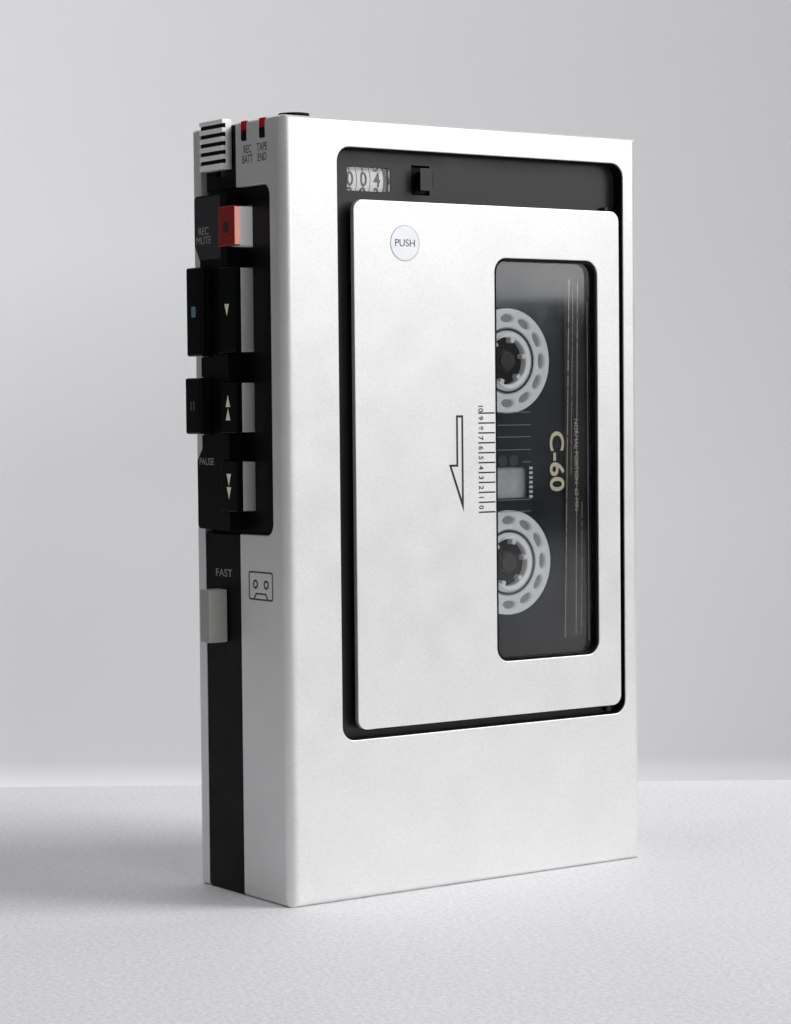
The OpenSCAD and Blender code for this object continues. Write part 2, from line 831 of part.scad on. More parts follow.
module pinch_roller() {
    tip = pinch_pivot + [0, pinch_reach];
    color([0.1, 0.1, 0.1]) difference() {
        shaft_y(tip, pinch_roller_r, 5.3, 9.5);
        shaft_y(tip, 0.8 + running_gap, 5, 10);
    }
}

// Tape counter -------------------------------------------------------------

module counter_frame() {
    side_t = 0.7;
    left = counter_x - 1.0;
    right = counter_x + 10.1;
    color([0.15, 0.15, 0.16]) {
        for (x = [left, right]) {
            block([x, 4.2, 141.3], [x + side_t, 14.4, 149.8]);
        }
        block([left, 14.4, 141.3], [right + side_t, 15.0, 149.8]);
        shaft_x(counter_axis, counter_shaft_r, left + side_t, right);
    }
}

// Number wheel, counted from the left.
module counter_wheel(place_no) {
    x0 = counter_x + place_no * counter_pitch;
    color("white") difference() {
        shaft_x(counter_axis, counter_r, x0, x0 + counter_w);
        shaft_x(counter_axis, counter_shaft_r + running_gap, x0 - over, x0 + counter_w + over);
    }
}

module counter_wheel_hundreds() {
    counter_wheel(0);
}

module counter_wheel_tens() {
    counter_wheel(1);
}

module counter_wheel_ones() {
    counter_wheel(2);
}

module reset_button() {
    color([0.12, 0.12, 0.13]) {
        block([33.0, 3.6, 142.0], [37.2, 7.0, 147.6]);
        block([34.7, 0.4, 142.9], [36.5, 3.6, 146.6]);
    }
}

// Keys -------------------------------------------------------------------

// Key with a cap, a body that fills its slot and a narrow tail.
module key(x0, y, z, cap_color, body_color) {
    inset = 0.15;
    middle = (z[0] + z[1]) / 2;
    color(cap_color) block([x0, y[0], z[0]], [x0 + key_cap_t, y[1], z[1]]);
    color(body_color) {
        block([x0 + key_cap_t, y[0] + inset, z[0] + inset], [key_body_end, y[1] - inset, z[1] - inset]);
        block([key_body_end, y[0] + 2.1, middle - 2.6], [key_tail_end, y[1] - 1.4, middle + 2.6]);
    }
}

module key_record() {
    key(front_key_x, front_row_y, record_z, "firebrick", "silver");
}

module key_play() {
    key(front_key_x, front_row_y, play_z, [0.06, 0.07, 0.08], "silver");
}

module key_rewind() {
    key(front_key_x, front_row_y, rewind_z, [0.06, 0.07, 0.08], "silver");
}

module key_forward() {
    key(front_key_x, front_row_y, forward_z, [0.06, 0.07, 0.08], "silver");
}

module key_stop() {
    key(stop_key_x, back_row_y, stop_z, [0.06, 0.07, 0.08], [0.06, 0.07, 0.08]);
}

module key_pause() {
    key(pause_key_x, back_row_y, pause_z, [0.06, 0.07, 0.08], [0.06, 0.07, 0.08]);
}

// Leaf springs cut from one sheet, one leaf behind each key.
module key_spring_comb() {
    color("goldenrod") side_slab(12.0, 12.3) difference() {
        translate([16.8, 82]) square([13.2, 58]);
        for (z = [91, 107, 129]) {
            translate([15.8, z - 0.5]) square([12, 1]);
        }
        translate([21.5, 81]) square([2.5, 56]);
    }
}

// Electrical parts ------------------------------------------------------------

module main_board() {
    color("darkgreen") slab(24.2, 25.4) difference() {
        translate([16, 85]) square([24.6, 60]);
        translate([24, 110]) circle(r = 1.5);
    }
}

module circuit_parts() {
    color([0.12, 0.12, 0.14]) {
        block([22, 25.4, 92], [34, 27.4, 99]);
        block([20, 25.4, 118], [28, 27.2, 130]);
        block([30, 25.4, 104], [38, 30.0, 113]);
    }
    color("royalblue") for (at = [[20, 104], [34, 120], [34, 128], [20, 138], [28, 138]]) {
        shaft_y(at, 2.5, 25.4, 30.6);
    }
}

module battery_cells() {
    color("darkorange") for (z = cell_z) {
        tip_left = z == cell_z[0];
        can_x = cell_x + (tip_left ? cell_tip : 0);
        tip_x = tip_left ? cell_x : cell_x + cell_l - cell_tip;
        shaft_x([battery_y, z], cell_r, can_x, can_x + cell_l - cell_tip);
        shaft_x([battery_y, z], cell_tip_r, tip_x, tip_x + cell_tip);
    }
}

// A contact plate at both ends of each cell, with a spring or a button on it.
module battery_contacts() {
    x0 = battery_in.x;
    x1 = battery_in.z;
    color("lightgray") for (i = [0, 1]) {
        z = cell_z[i];
        bumps = i == 1 ? [spring_r, plate_button_r] : [plate_button_r, spring_r];
        for (x = [x0, x1 - contact_t]) {
            block([x, battery_y - contact_half.x, z - contact_half.y],
                  [x + contact_t, battery_y + contact_half.x, z + contact_half.y]);
        }
        shaft_x([battery_y, z], bumps[0], x0 + contact_t, cell_x - 0.05);
        shaft_x([battery_y, z], bumps[1], cell_x + cell_l + 0.05, x1 - contact_t);
    }
}

module speaker() {
    color([0.2, 0.2, 0.2]) difference() {
        union() {
            shaft_y(speaker_at, speaker_r, 31.9, 33.3);
            shaft_y(speaker_at, speaker_r - 5, 28.5, 31.9);
            shaft_y(speaker_at, 8, 22.5, 28.5);
        }
        shaft_y(speaker_at, speaker_r - 2.5, 32.6, 34);
    }
}

// Ribbed block on a stem.
module volume_slider() {
    lo = [-1.0, 20.9, 147.0];
    hi = [1.25, 29.9, 157.0];
    groove = 0.85;
    pitch = 1.78;
    color("lightgray") {
        difference() {
            block(lo, hi);
            for (rib = [0 : 4]) {
                z = lo.z + 1.18 + rib * pitch;
                block([lo.x - over, lo.y - over, z], [lo.x + 0.8, hi.y + over, z + groove]);
            }
        }
        block([hi.x, 24.1, 149.8], [slider_stem_end, 26.9, 152.9]);
    }
}

module speed_slider() {
    color([0.6, 0.6, 0.57]) {
        block([-4.4, 22.6, 51.2], [0.0, 26.4, 62.0]);
        block([0.0, 23.7, 56.4], [slider_stem_end, 25.3, 59.6]);
    }
}

// Socket in the right side, with a square body inside the case.
module jack(z, rim_r, hole_r, body_x) {
    half = 4;
    inner_x = body_w - frame_inset - frame_t - fit_gap;
    difference() {
        union() {
            block([body_x, jack_y - half, z - half], [inner_x, jack_y + half, z + half]);
            shaft_x([jack_y, z], rim_r, body_w - 3, body_w + jack_rise);
        }
        shaft_x([jack_y, z], hole_r, jack_x, body_w + over);
    }
}

// Earphone and microphone sockets, and the power socket below them.
module audio_jacks() {
    color([0.1, 0.1, 0.1]) {
        for (z = jack_z) {
            jack(z, jack_rim_r, plug_r, jack_x - 1);
        }
        jack(dc_jack_z, dc_rim_r, dc_hole_r, jack_x - 2);
    }
}

module microphone() {
    shoulder_z = body_h - shell_t - fit_gap;
    can_h = 5.8;
    color([0.08, 0.08, 0.09]) translate([mic_at.x, mic_at.y, shoulder_z]) {
        translate([0, 0, -can_h]) cylinder(r = mic_r + 0.3, h = can_h);
        cylinder(r = mic_r, h = body_h + mic_rise - shoulder_z);
    }
}

// Drawing --------------------------------------------------------------------

place() front_shell();
place() center_frame();
place() back_shell();
place() battery_door();
place() key_bezel();
place() case_screws();
place() cassette_well();
place() led_windows();
place() door_panel();
place() door_holder();
place() window_pane();
place() hinge_pins();
place() door_catch();
place() cassette_front_half();
place() cassette_back_half();
place() supply_hub();
place() takeup_hub();
place() supply_tape_pack();
place() takeup_tape_pack();
place() tape_run();
place() pressure_pad();
place() guide_rollers();
place() cassette_screws();
place() chassis_plate();
place() flywheel();
place() capstan();
place() capstan_bearing();
place() flywheel_bracket();
place() motor();
place() motor_pulley();
place() drive_belt();
place() idler_wheel();
place() supply_spindle();
place() takeup_spindle();
place() head_plate();
place() record_head();
place() erase_head();
place() pinch_arm();
place() pinch_roller();
place() counter_frame();
place() counter_wheel_hundreds();
place() counter_wheel_tens();
place() counter_wheel_ones();
place() reset_button();
place() key_record();
place() key_play();
place() key_rewind();
place() key_forward();
place() key_stop();
place() key_pause();
place() key_spring_comb();
place() main_board();
place() circuit_parts();
place() battery_cells();
place() battery_contacts();
place() speaker();
place() volume_slider();
place() speed_slider();
place() audio_jacks();
place() microphone();
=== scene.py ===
"""Looks of the pocket cassette recorder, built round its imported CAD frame.

Lengths are in millimetres from the lower left front corner of the case, and at() turns them into
metres in the row frame. X runs across the front, Y into the case and Z up.
"""
import json
import math

import bmesh
import bpy
from mathutils import Matrix, Vector

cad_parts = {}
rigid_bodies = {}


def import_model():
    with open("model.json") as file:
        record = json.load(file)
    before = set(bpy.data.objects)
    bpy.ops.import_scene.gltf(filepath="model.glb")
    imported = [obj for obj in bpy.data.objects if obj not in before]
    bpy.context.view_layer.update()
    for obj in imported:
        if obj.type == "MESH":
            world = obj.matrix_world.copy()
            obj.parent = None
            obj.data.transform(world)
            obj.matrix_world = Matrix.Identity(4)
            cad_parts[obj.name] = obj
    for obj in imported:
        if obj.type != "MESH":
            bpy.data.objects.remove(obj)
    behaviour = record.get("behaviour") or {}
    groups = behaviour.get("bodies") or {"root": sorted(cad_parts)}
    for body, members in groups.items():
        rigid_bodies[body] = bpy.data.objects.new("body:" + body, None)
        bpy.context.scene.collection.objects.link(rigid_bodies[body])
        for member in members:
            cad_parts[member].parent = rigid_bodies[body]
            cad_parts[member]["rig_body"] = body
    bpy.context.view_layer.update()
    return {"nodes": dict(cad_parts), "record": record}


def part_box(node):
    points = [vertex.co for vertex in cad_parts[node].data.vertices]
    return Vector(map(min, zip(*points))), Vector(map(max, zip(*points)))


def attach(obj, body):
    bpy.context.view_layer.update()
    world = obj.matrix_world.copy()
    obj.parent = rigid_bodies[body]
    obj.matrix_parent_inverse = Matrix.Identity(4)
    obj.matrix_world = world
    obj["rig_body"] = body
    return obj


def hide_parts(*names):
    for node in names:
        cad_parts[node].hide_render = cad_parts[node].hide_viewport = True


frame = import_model()

MM = 0.001
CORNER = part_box("front_shell")[0].copy()
CASE, DOOR = "case", "door"
PRINT_T = 0.03
LABEL_PLATE_X = -1.72
SMOOTH_BELOW = math.radians(32)


# Places ---------------------------------------------------------------------

def at(x, y, z):
    """A point in the row frame."""
    return CORNER + Vector((x, y, z)) * MM


def span(node):
    """Lowest and highest corner of a CAD node, in millimetres from the case corner."""
    lo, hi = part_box(node)
    return (lo - CORNER) / MM, (hi - CORNER) / MM


# For each side of the case: which way is right and up for a person looking at it, which way is out,
# and the case axes that run along the side and through it.
SIDES = {
    "front": (Vector((1, 0, 0)), Vector((0, 0, 1)), Vector((0, -1, 0)), (0, 2, 1)),
    "back": (Vector((-1, 0, 0)), Vector((0, 0, 1)), Vector((0, 1, 0)), (0, 2, 1)),
    "left": (Vector((0, -1, 0)), Vector((0, 0, 1)), Vector((-1, 0, 0)), (1, 2, 0)),
    "right": (Vector((0, 1, 0)), Vector((0, 0, 1)), Vector((1, 0, 0)), (1, 2, 0)),
    "top": (Vector((1, 0, 0)), Vector((0, 1, 0)), Vector((0, 0, 1)), (0, 1, 2)),
    "bottom": (Vector((1, 0, 0)), Vector((0, -1, 0)), Vector((0, 0, -1)), (0, 1, 2)),
}


def side_point(side, p, q, depth):
    """Case point for two coordinates along a side and one through it."""
    a, b, d = SIDES[side][3]
    point = Vector((0, 0, 0))
    point[a], point[b], point[d] = p, q, depth
    return point


def side_matrix(side, origin):
    """Matrix from a flat drawing on a side, in millimetres, to the row frame."""
    right, up, out, _ = SIDES[side]
    turn = Matrix((right, up, out)).transposed().to_4x4()
    return Matrix.Translation(CORNER) @ Matrix.Scale(MM, 4) @ Matrix.Translation(origin) @ turn


# Materials --------------------------------------------------------------------

def add(tree, kind, **values):
    """A shader node, with its properties and unlinked sockets set."""
    node = tree.nodes.new(kind)
    for key, value in values.items():
        if key in node.inputs:
            node.inputs[key].default_value = value
        else:
            setattr(node, key, value)
    return node


def noise(tree, size_mm, detail=2.0, stretch=None):
    """Noise whose blobs are about size_mm across, as a value from 0 to 1."""
    source = add(tree, "ShaderNodeTexCoord").outputs["Object"]
    if stretch:
        mapping = add(tree, "ShaderNodeMapping")
        mapping.inputs["Scale"].default_value = stretch
        tree.links.new(source, mapping.inputs["Vector"])
        source = mapping.outputs["Vector"]
    texture = add(tree, "ShaderNodeTexNoise", Scale=1 / (size_mm * MM), Detail=detail)
    tree.links.new(source, texture.inputs["Vector"])
    return texture.outputs[0]


def sway(tree, value, middle, amount):
    """middle plus or minus amount as value goes from 0.25 to 0.75."""
    node = add(tree, "ShaderNodeMapRange")
    for key, number in (("From Min", 0.25), ("From Max", 0.75),
                        ("To Min", middle - amount), ("To Max", middle + amount)):
        node.inputs[key].default_value = number
    tree.links.new(value, node.inputs["Value"])
    return node.outputs["Result"]


def product(tree, first, second):
    """Two values multiplied."""
    node = add(tree, "ShaderNodeMath", operation="MULTIPLY")
    tree.links.new(first, node.inputs[0])
    tree.links.new(second, node.inputs[1])
    return node.outputs["Value"]


def skin(name, color, rough, metal=0.0, blotch=(9.0, 0.05), grain=(0.25, 0.06), bump=(0.25, 0.004),
         scuff=0.06, stretch=None, sockets=()):
    """Procedural material. blotch and grain give a size in millimetres and how much the colour varies
    at that size, bump a size and a height in millimetres, and scuff how much the roughness varies."""
    material = bpy.data.materials.new(name)
    material.use_nodes = True
    tree = material.node_tree
    shader = tree.nodes["Principled BSDF"]
    shader.inputs["Metallic"].default_value = metal
    for key, value in dict(sockets).items():
        shader.inputs[key].default_value = value
    patches = noise(tree, blotch[0], 3.0)
    specks = noise(tree, grain[0], 2.0, stretch)
    shade = product(tree, sway(tree, patches, 1.0, blotch[1]), sway(tree, specks, 1.0, grain[1]))
    tint = add(tree, "ShaderNodeVectorMath", operation="SCALE")
    tint.inputs[0].default_value = color
    tree.links.new(shade, tint.inputs["Scale"])
    tree.links.new(tint.outputs["Vector"], shader.inputs["Base Color"])
    wear = noise(tree, blotch[0] * 0.6, 5.0, stretch)
    tree.links.new(sway(tree, wear, rough, scuff), shader.inputs["Roughness"])
    relief = add(tree, "ShaderNodeBump", Distance=bump[1] * MM)
    tree.links.new(noise(tree, bump[0], 3.0, stretch), relief.inputs["Height"])
    tree.links.new(relief.outputs["Normal"], shader.inputs["Normal"])
    return material


def clear_skin(name, tint, gloss_rough, haze=0.0, haze_color=(0.5, 0.5, 0.5), ior=1.5, smear=0.03):
    """Thin clear plastic: see-through with a tint, shiny by its angle, with a little uneven haze."""
    material = bpy.data.materials.new(name)
    material.use_nodes = True
    tree = material.node_tree
    tree.nodes.remove(tree.nodes["Principled BSDF"])
    out = tree.nodes["Material Output"]
    through = add(tree, "ShaderNodeBsdfTransparent", Color=(*tint, 1))
    gloss = add(tree, "ShaderNodeBsdfGlossy", Color=(1, 1, 1, 1))
    dull = add(tree, "ShaderNodeBsdfDiffuse", Color=(*haze_color, 1))
    film = noise(tree, 7.0, 4.0)
    tree.links.new(sway(tree, film, gloss_rough, gloss_rough * 0.4), gloss.inputs["Roughness"])
    hazed = add(tree, "ShaderNodeMixShader")
    tree.links.new(sway(tree, film, haze, min(haze, smear)), hazed.inputs["Fac"])
    tree.links.new(through.outputs[0], hazed.inputs[1])
    tree.links.new(dull.outputs[0], hazed.inputs[2])
    edge = add(tree, "ShaderNodeFresnel", IOR=ior)
    mixed = add(tree, "ShaderNodeMixShader")
    tree.links.new(edge.outputs[0], mixed.inputs["Fac"])
    tree.links.new(hazed.outputs[0], mixed.inputs[1])
    tree.links.new(gloss.outputs[0], mixed.inputs[2])
    tree.links.new(mixed.outputs[0], out.inputs["Surface"])
    return material


BRUSHED_UP = (1.0, 1.0, 0.06)
BRUSHED_ACROSS = (0.06, 1.0, 1.0)
DARK = {"Specular IOR Level": 0.10}

# What skin() takes after the name: colour, roughness, metal, blotch, grain, bump, scuff, stretch, sockets.
SKIN_VALUES = {
    "silver_case": ((0.86, 0.86, 0.855), 0.40, 0.65, (14, 0.03), (0.30, 0.07), (0.25, 0.005), 0.04),
    "door_silver": ((0.86, 0.86, 0.855), 0.40, 0.65, (14, 0.03), (0.30, 0.07), (0.25, 0.005), 0.04),
    "black_frame": ((0.0035, 0.0042, 0.0046), 0.42, 0, (10, 0.15), (0.3, 0.2), (0.35, 0.010), 0.08,
                    None, DARK),
    "black_bezel": ((0.0028, 0.0034, 0.0038), 0.36, 0, (8, 0.15), (0.3, 0.2), (0.35, 0.008), 0.08,
                    None, DARK),
    "dark_panel": ((0.014, 0.015, 0.016), 0.32, 0, (12, 0.10), (0.3, 0.1), (0.3, 0.003), 0.06),
    "hub_white": ((0.95, 0.955, 0.96), 0.34, 0, (5, 0.04), (0.3, 0.03), (0.5, 0.006), 0.06,
                  None, {"Subsurface Weight": 0.1, "Subsurface Radius": (0.001, 0.001, 0.001)}),
    "plate_grey": ((0.016, 0.018, 0.021), 0.45, 0, (5, 0.15), (0.3, 0.2), (0.3, 0.01), 0.08),
    "sight_grey": ((0.70, 0.71, 0.72), 0.35, 0.2, (2, 0.12), (0.5, 0.10), (0.3, 0.004), 0.08, BRUSHED_ACROSS),
    # Lighter copy of hub_white that glows a little, for the hub faces: painted light.
    "hub_painted_light_and_shade": ((0.98, 0.985, 0.99), 0.34, 0, (5, 0.04), (0.3, 0.03), (0.5, 0.006), 0.06,
                 None, {"Emission Color": (0.9, 0.94, 1.0, 1), "Emission Strength": 0.12}),
    "tape_brown": ((0.028, 0.018, 0.013), 0.30, 0.1, (6, 0.15), (0.1, 0.2), (0.08, 0.004), 0.08),
    "felt": ((0.55, 0.42, 0.28), 0.95, 0, (2, 0.10), (0.12, 0.25), (0.12, 0.05), 0.03,
             None, {"Sheen Weight": 0.4}),
    "steel": ((0.42, 0.42, 0.43), 0.38, 1.0, (6, 0.08), (0.2, 0.10), (0.2, 0.004), 0.10, BRUSHED_UP),
    "polished_steel": ((0.62, 0.62, 0.63), 0.16, 1.0, (6, 0.05), (0.2, 0.04), (0.3, 0.001), 0.06),
    "brass": ((0.70, 0.52, 0.22), 0.28, 1.0, (5, 0.08), (0.2, 0.05), (0.2, 0.003), 0.09, BRUSHED_ACROSS),
    "bronze": ((0.48, 0.30, 0.17), 0.50, 1.0, (3, 0.12), (0.15, 0.20), (0.15, 0.010), 0.08),
    "rubber_black": ((0.014, 0.014, 0.015), 0.72, 0, (5, 0.2), (0.2, 0.2), (0.2, 0.015), 0.08),
    "motor_can": ((0.55, 0.56, 0.58), 0.30, 1.0, (8, 0.06), (0.2, 0.05), (0.3, 0.003), 0.08),
    "nylon_dark": ((0.020, 0.021, 0.023), 0.42, 0, (5, 0.15), (0.3, 0.15), (0.3, 0.006), 0.08),
    # The number wheels' white glows a little: painted light.
    "counter_white": ((0.92, 0.925, 0.925), 0.42, 0, (3, 0.05), (0.2, 0.03), (0.3, 0.004), 0.06,
                      None, {"Emission Color": (0.95, 0.97, 1.0, 1), "Emission Strength": 0.13}),
    "key_red": ((0.24, 0.007, 0.006), 0.27, 0, (4, 0.10), (0.2, 0.05), (0.3, 0.003), 0.05,
                None, {"Coat Weight": 0.3, "Coat Roughness": 0.15}),
    "key_black": ((0.0020, 0.0026, 0.0028), 0.32, 0, (4, 0.15), (0.2, 0.10), (0.3, 0.004), 0.06, None, DARK),
    "key_all_black": ((0.0020, 0.0026, 0.0028), 0.32, 0, (4, 0.15), (0.2, 0.1), (0.3, 0.004), 0.06,
                      None, DARK),
    "key_silver": ((0.70, 0.70, 0.71), 0.40, 0.45, (6, 0.04), (0.2, 0.05), (0.2, 0.003), 0.05),
    # Lighter copy of key_silver that glows a little, for the record key's body: painted light.
    "key_silver_painted_lit": ((0.80, 0.80, 0.81), 0.40, 0.35, (6, 0.04), (0.2, 0.05), (0.2, 0.003), 0.05,
                   BRUSHED_ACROSS, {"Emission Color": (1, 0.99, 0.98, 1), "Emission Strength": 0.14}),
    "led_red": ((0.46, 0.008, 0.010), 0.25, 0, (2, 0.20), (0.3, 0.10), (0.4, 0.002), 0.05,
                None, {"Specular IOR Level": 0.15}),
    "knob_grey": ((0.92, 0.925, 0.92), 0.34, 0.1, (4, 0.06), (0.25, 0.08), (0.25, 0.005), 0.07),
    "slider_grey": ((0.36, 0.36, 0.345), 0.42, 0.05, (4, 0.06), (0.25, 0.08), (0.25, 0.006), 0.07),
    "board_green": ((0.03, 0.16, 0.06), 0.36, 0, (3, 0.15), (0.5, 0.10), (0.5, 0.01), 0.08),
    "part_blue": ((0.03, 0.10, 0.32), 0.35, 0, (3, 0.10), (0.3, 0.08), (0.3, 0.005), 0.08),
    "cell_label": ((0.45, 0.16, 0.03), 0.32, 0.4, (9, 0.10), (0.3, 0.04), (0.4, 0.003), 0.06),
    "nickel": ((0.66, 0.63, 0.58), 0.22, 1.0, (4, 0.06), (0.2, 0.05), (0.2, 0.002), 0.08),
    "speaker_black": ((0.02, 0.02, 0.021), 0.8, 0, (6, 0.15), (0.2, 0.25), (0.3, 0.03), 0.08),
    "head_metal": ((0.55, 0.55, 0.56), 0.20, 1.0, (5, 0.05), (0.15, 0.06), (0.2, 0.002), 0.07),
    "slate_film": ((0.026, 0.031, 0.039), 0.55, 0, (16, 0.10), (0.3, 0.08), (0.4, 0.004), 0.08, None, DARK),
    "black_film": ((0.009, 0.009, 0.010), 0.35, 0, (12, 0.15), (0.3, 0.10), (0.4, 0.003), 0.06),
    "ink_black": ((0.012, 0.012, 0.014), 0.45, 0, (2, 0.20), (0.1, 0.20), (0.1, 0.004), 0.06),
    "ink_grey": ((0.30, 0.30, 0.29), 0.45, 0, (2, 0.10), (0.1, 0.15), (0.1, 0.004), 0.06),
    "ink_dark": ((0.055, 0.055, 0.055), 0.45, 0, (2, 0.10), (0.1, 0.20), (0.1, 0.004), 0.06),
    "ink_cream": ((0.88, 0.82, 0.64), 0.40, 0, (2, 0.08), (0.1, 0.12), (0.1, 0.004), 0.06),
    "ink_blue": ((0.10, 0.20, 0.25), 0.40, 0, (2, 0.08), (0.1, 0.12), (0.1, 0.004), 0.06),
    # White for print, and for the painted highlight along the cassette's edge.
    "ink_white": ((0.75, 0.76, 0.76), 0.40, 0, (2, 0.06), (0.1, 0.10), (0.1, 0.004), 0.06),
    "gold_foil": ((0.56, 0.50, 0.38), 0.30, 0.7, (3, 0.10), (0.1, 0.10), (0.1, 0.003), 0.08),
    "push_disc": ((0.80, 0.825, 0.85), 0.40, 0.55, (3, 0.03), (0.15, 0.03), (0.2, 0.002), 0.05),
    # Pale red that glows, for the painted highlight on the record key's cap.
    "cap_edge_painted_highlight": ((0.95, 0.42, 0.34), 0.30, 0, (3, 0.06), (0.2, 0.04), (0.3, 0.002), 0.05,
                     None, {"Emission Color": (1.0, 0.42, 0.34, 1), "Emission Strength": 0.35}),
}
SKINS = {name: skin(name, *values) for name, values in SKIN_VALUES.items()}
SKINS["clear_window"] = clear_skin("clear_window", (0.99, 0.99, 0.99), 0.06, 0.004, (0.55, 0.57, 0.60), 1.45)
SKINS["smoked_shell"] = clear_skin("smoked_shell", (0.97, 0.975, 0.98), 0.12, 0.006, (0.30, 0.32, 0.35), 1.08)


def shade_along(material, direction, start, end, first, last):
    """Multiplies a material's colour by first to last, between two distances along a direction, in metres."""
    tree = material.node_tree
    color = tree.nodes["Principled BSDF"].inputs["Base Color"]
    source = color.links[0].from_socket
    along = add(tree, "ShaderNodeVectorMath", operation="DOT_PRODUCT")
    along.inputs[1].default_value = direction
    tree.links.new(add(tree, "ShaderNodeTexCoord").outputs["Object"], along.inputs[0])
    ramp = add(tree, "ShaderNodeMapRange")
    for key, number in (("From Min", start), ("From Max", end), ("To Min", first), ("To Max", last)):
        ramp.inputs[key].default_value = number
    tree.links.new(along.outputs["Value"], ramp.inputs["Value"])
    scaled = add(tree, "ShaderNodeVectorMath", operation="SCALE")
    tree.links.new(source, scaled.inputs[0])
    tree.links.new(ramp.outputs["Result"], scaled.inputs["Scale"])
    tree.links.new(scaled.outputs["Vector"], color)


# Painted shade: the lamp windows turn almost black towards their lower part.
shade_along(SKINS["led_red"], (0, 0, 1), 153.9 * MM, 154.5 * MM, 0.02, 1.0)
# Painted shade and painted light: the cassette liner darkens towards the bottom of the window and lightens
# towards its top.
shade_along(SKINS["slate_film"], (0, 0, 1), 0.045, 0.105, 0.3, 1.35)
# Painted shade: the hub faces darken with depth, into their hollows, groove and bore.
shade_along(SKINS["hub_painted_light_and_shade"], (0, 1, 0), at(0, 4.6, 0).y, at(0, 5.5, 0).y, 1.0, 0.12)


# Pieces ---------------------------------------------------------------------------

def place(name, mesh, slot, body, replaces=(), record_slot=None):
    """Puts a mesh in the scene as a piece of the object."""
    piece = bpy.data.objects.new(name, mesh)
    bpy.context.scene.collection.objects.link(piece)
    mesh.materials.clear()
    mesh.materials.append(SKINS[slot])
    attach(piece, body)
    if replaces:
        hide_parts(*replaces)
    return piece


def round_off(mesh, bevel, corners=None):
    """Merges split points and flat triangles, and rounds the sharp edges by bevel millimetres.
    corners is a wider bevel, with a test for the edges that get it."""
    shape = bmesh.new()
    shape.from_mesh(mesh)
    bmesh.ops.remove_doubles(shape, verts=shape.verts, dist=2e-6)
    bmesh.ops.dissolve_limit(shape, angle_limit=math.radians(0.6), verts=shape.verts, edges=shape.edges)
    for width, wanted in filter(None, (corners, (bevel, lambda edge: True) if bevel else None)):
        sharp = [edge for edge in shape.edges
                 if len(edge.link_faces) == 2 and edge.calc_face_angle(0) > math.radians(40) and wanted(edge)]
        bmesh.ops.bevel(shape, geom=sharp, offset=width * MM, segments=3, profile=0.5,
                        affect="EDGES", clamp_overlap=width == bevel)
    for face in shape.faces:
        face.smooth = True
    for edge in shape.edges:
        edge.smooth = len(edge.link_faces) == 2 and edge.calc_face_angle(0) < SMOOTH_BELOW
    shape.to_mesh(mesh)
    shape.free()
    return mesh


def weigh(piece):
    """Keeps flat faces flat next to rounded edges."""
    modifier = piece.modifiers.new("even_normals", "WEIGHTED_NORMAL")
    modifier.keep_sharp = True
    return piece


def refined(node, bevel, slot, corners=None):
    """A CAD node's own shape with rounded edges, standing for the node."""
    source = frame["nodes"][node]
    mesh = round_off(source.data.copy(), bevel, corners)
    return weigh(place("fine_" + node, mesh, slot, source["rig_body"], [node]))


def drawn(name, curve, matrix):
    """The mesh of a curve or text, moved by a matrix."""
    holder = bpy.data.objects.new(name, curve)
    bpy.context.scene.collection.objects.link(holder)
    bpy.context.view_layer.update()
    graph = bpy.context.evaluated_depsgraph_get()
    mesh = bpy.data.meshes.new_from_object(holder.evaluated_get(graph))
    mesh.transform(matrix)
    bpy.data.objects.remove(holder)
    return mesh


def plate(name, side, loops, inner, outer, slot, body, bevel=0.0, **more):
    """Flat piece on a side of the case: outlines with holes, filled between two depths."""
    right, up, _, _ = SIDES[side]
    curve = bpy.data.curves.new(name, "CURVE")
    curve.dimensions = "2D"
    curve.fill_mode = "BOTH"
    curve.extrude = abs(outer - inner) / 2
    for loop in loops:
        spline = curve.splines.new("POLY")
        spline.points.add(len(loop) - 1)
        for knot, (p, q) in zip(spline.points, loop):
            flat = side_point(side, p, q, 0)
            knot.co = (flat.dot(right), flat.dot(up), 0, 1)
        spline.use_cyclic_u = True
    mesh = drawn(name, curve, side_matrix(side, side_point(side, 0, 0, (inner + outer) / 2)))
    return weigh(place(name, round_off(mesh, bevel), slot, body, **more))


def words(name, side, text, p, q, depth, height, slot, body, turn=0.0, squeeze=1.0, bold=0.0):
    """Printed letters or digits, centred on a point of a side. height is that of a capital."""
    font = bpy.data.curves.new(name, "FONT")
    font.body = text
    font.size = height / 0.73
    font.align_x = "CENTER"
    font.align_y = "CENTER"
    font.space_line = 0.85
    font.offset = bold
    font.extrude = PRINT_T / 2
    matrix = side_matrix(side, side_point(side, p, q, depth))
    matrix = matrix @ Matrix.Rotation(math.radians(turn), 4, "Z") @ Matrix.Diagonal((squeeze, 1, 1, 1))
    return place(name, round_off(drawn(name, font, matrix), 0), slot, body, record_slot=record_of(slot))


def record_of(slot):
    """The record's slot nearest to a printing ink."""
    return {"ink_black": "black_frame", "ink_grey": "knob_grey", "ink_dark": "black_bezel",
            "ink_cream": "hub_white", "ink_blue": "part_blue", "ink_white": "hub_white"}.get(slot, slot)


def rectangle(x0, z0, x1, z1):
    """Outline of a rectangle."""
    return [(x0, z0), (x1, z0), (x1, z1), (x0, z1)]


def rounded(x0, z0, x1, z1, r, steps=8):
    """Outline of a rounded rectangle."""
    points = []
    corners = ((x1 - r, z1 - r, 0), (x0 + r, z1 - r, 90), (x0 + r, z0 + r, 180), (x1 - r, z0 + r, 270))
    for cx, cz, start in corners:
        for i in range(steps + 1):
            a = math.radians(start + 90 * i / steps)
            points.append((cx + r * math.cos(a), cz + r * math.sin(a)))
    return points


def circle(cx, cz, r, steps=72):
    """Outline of a circle."""
    return [(cx + r * math.cos(2 * math.pi * i / steps), cz + r * math.sin(2 * math.pi * i / steps))
            for i in range(steps)]


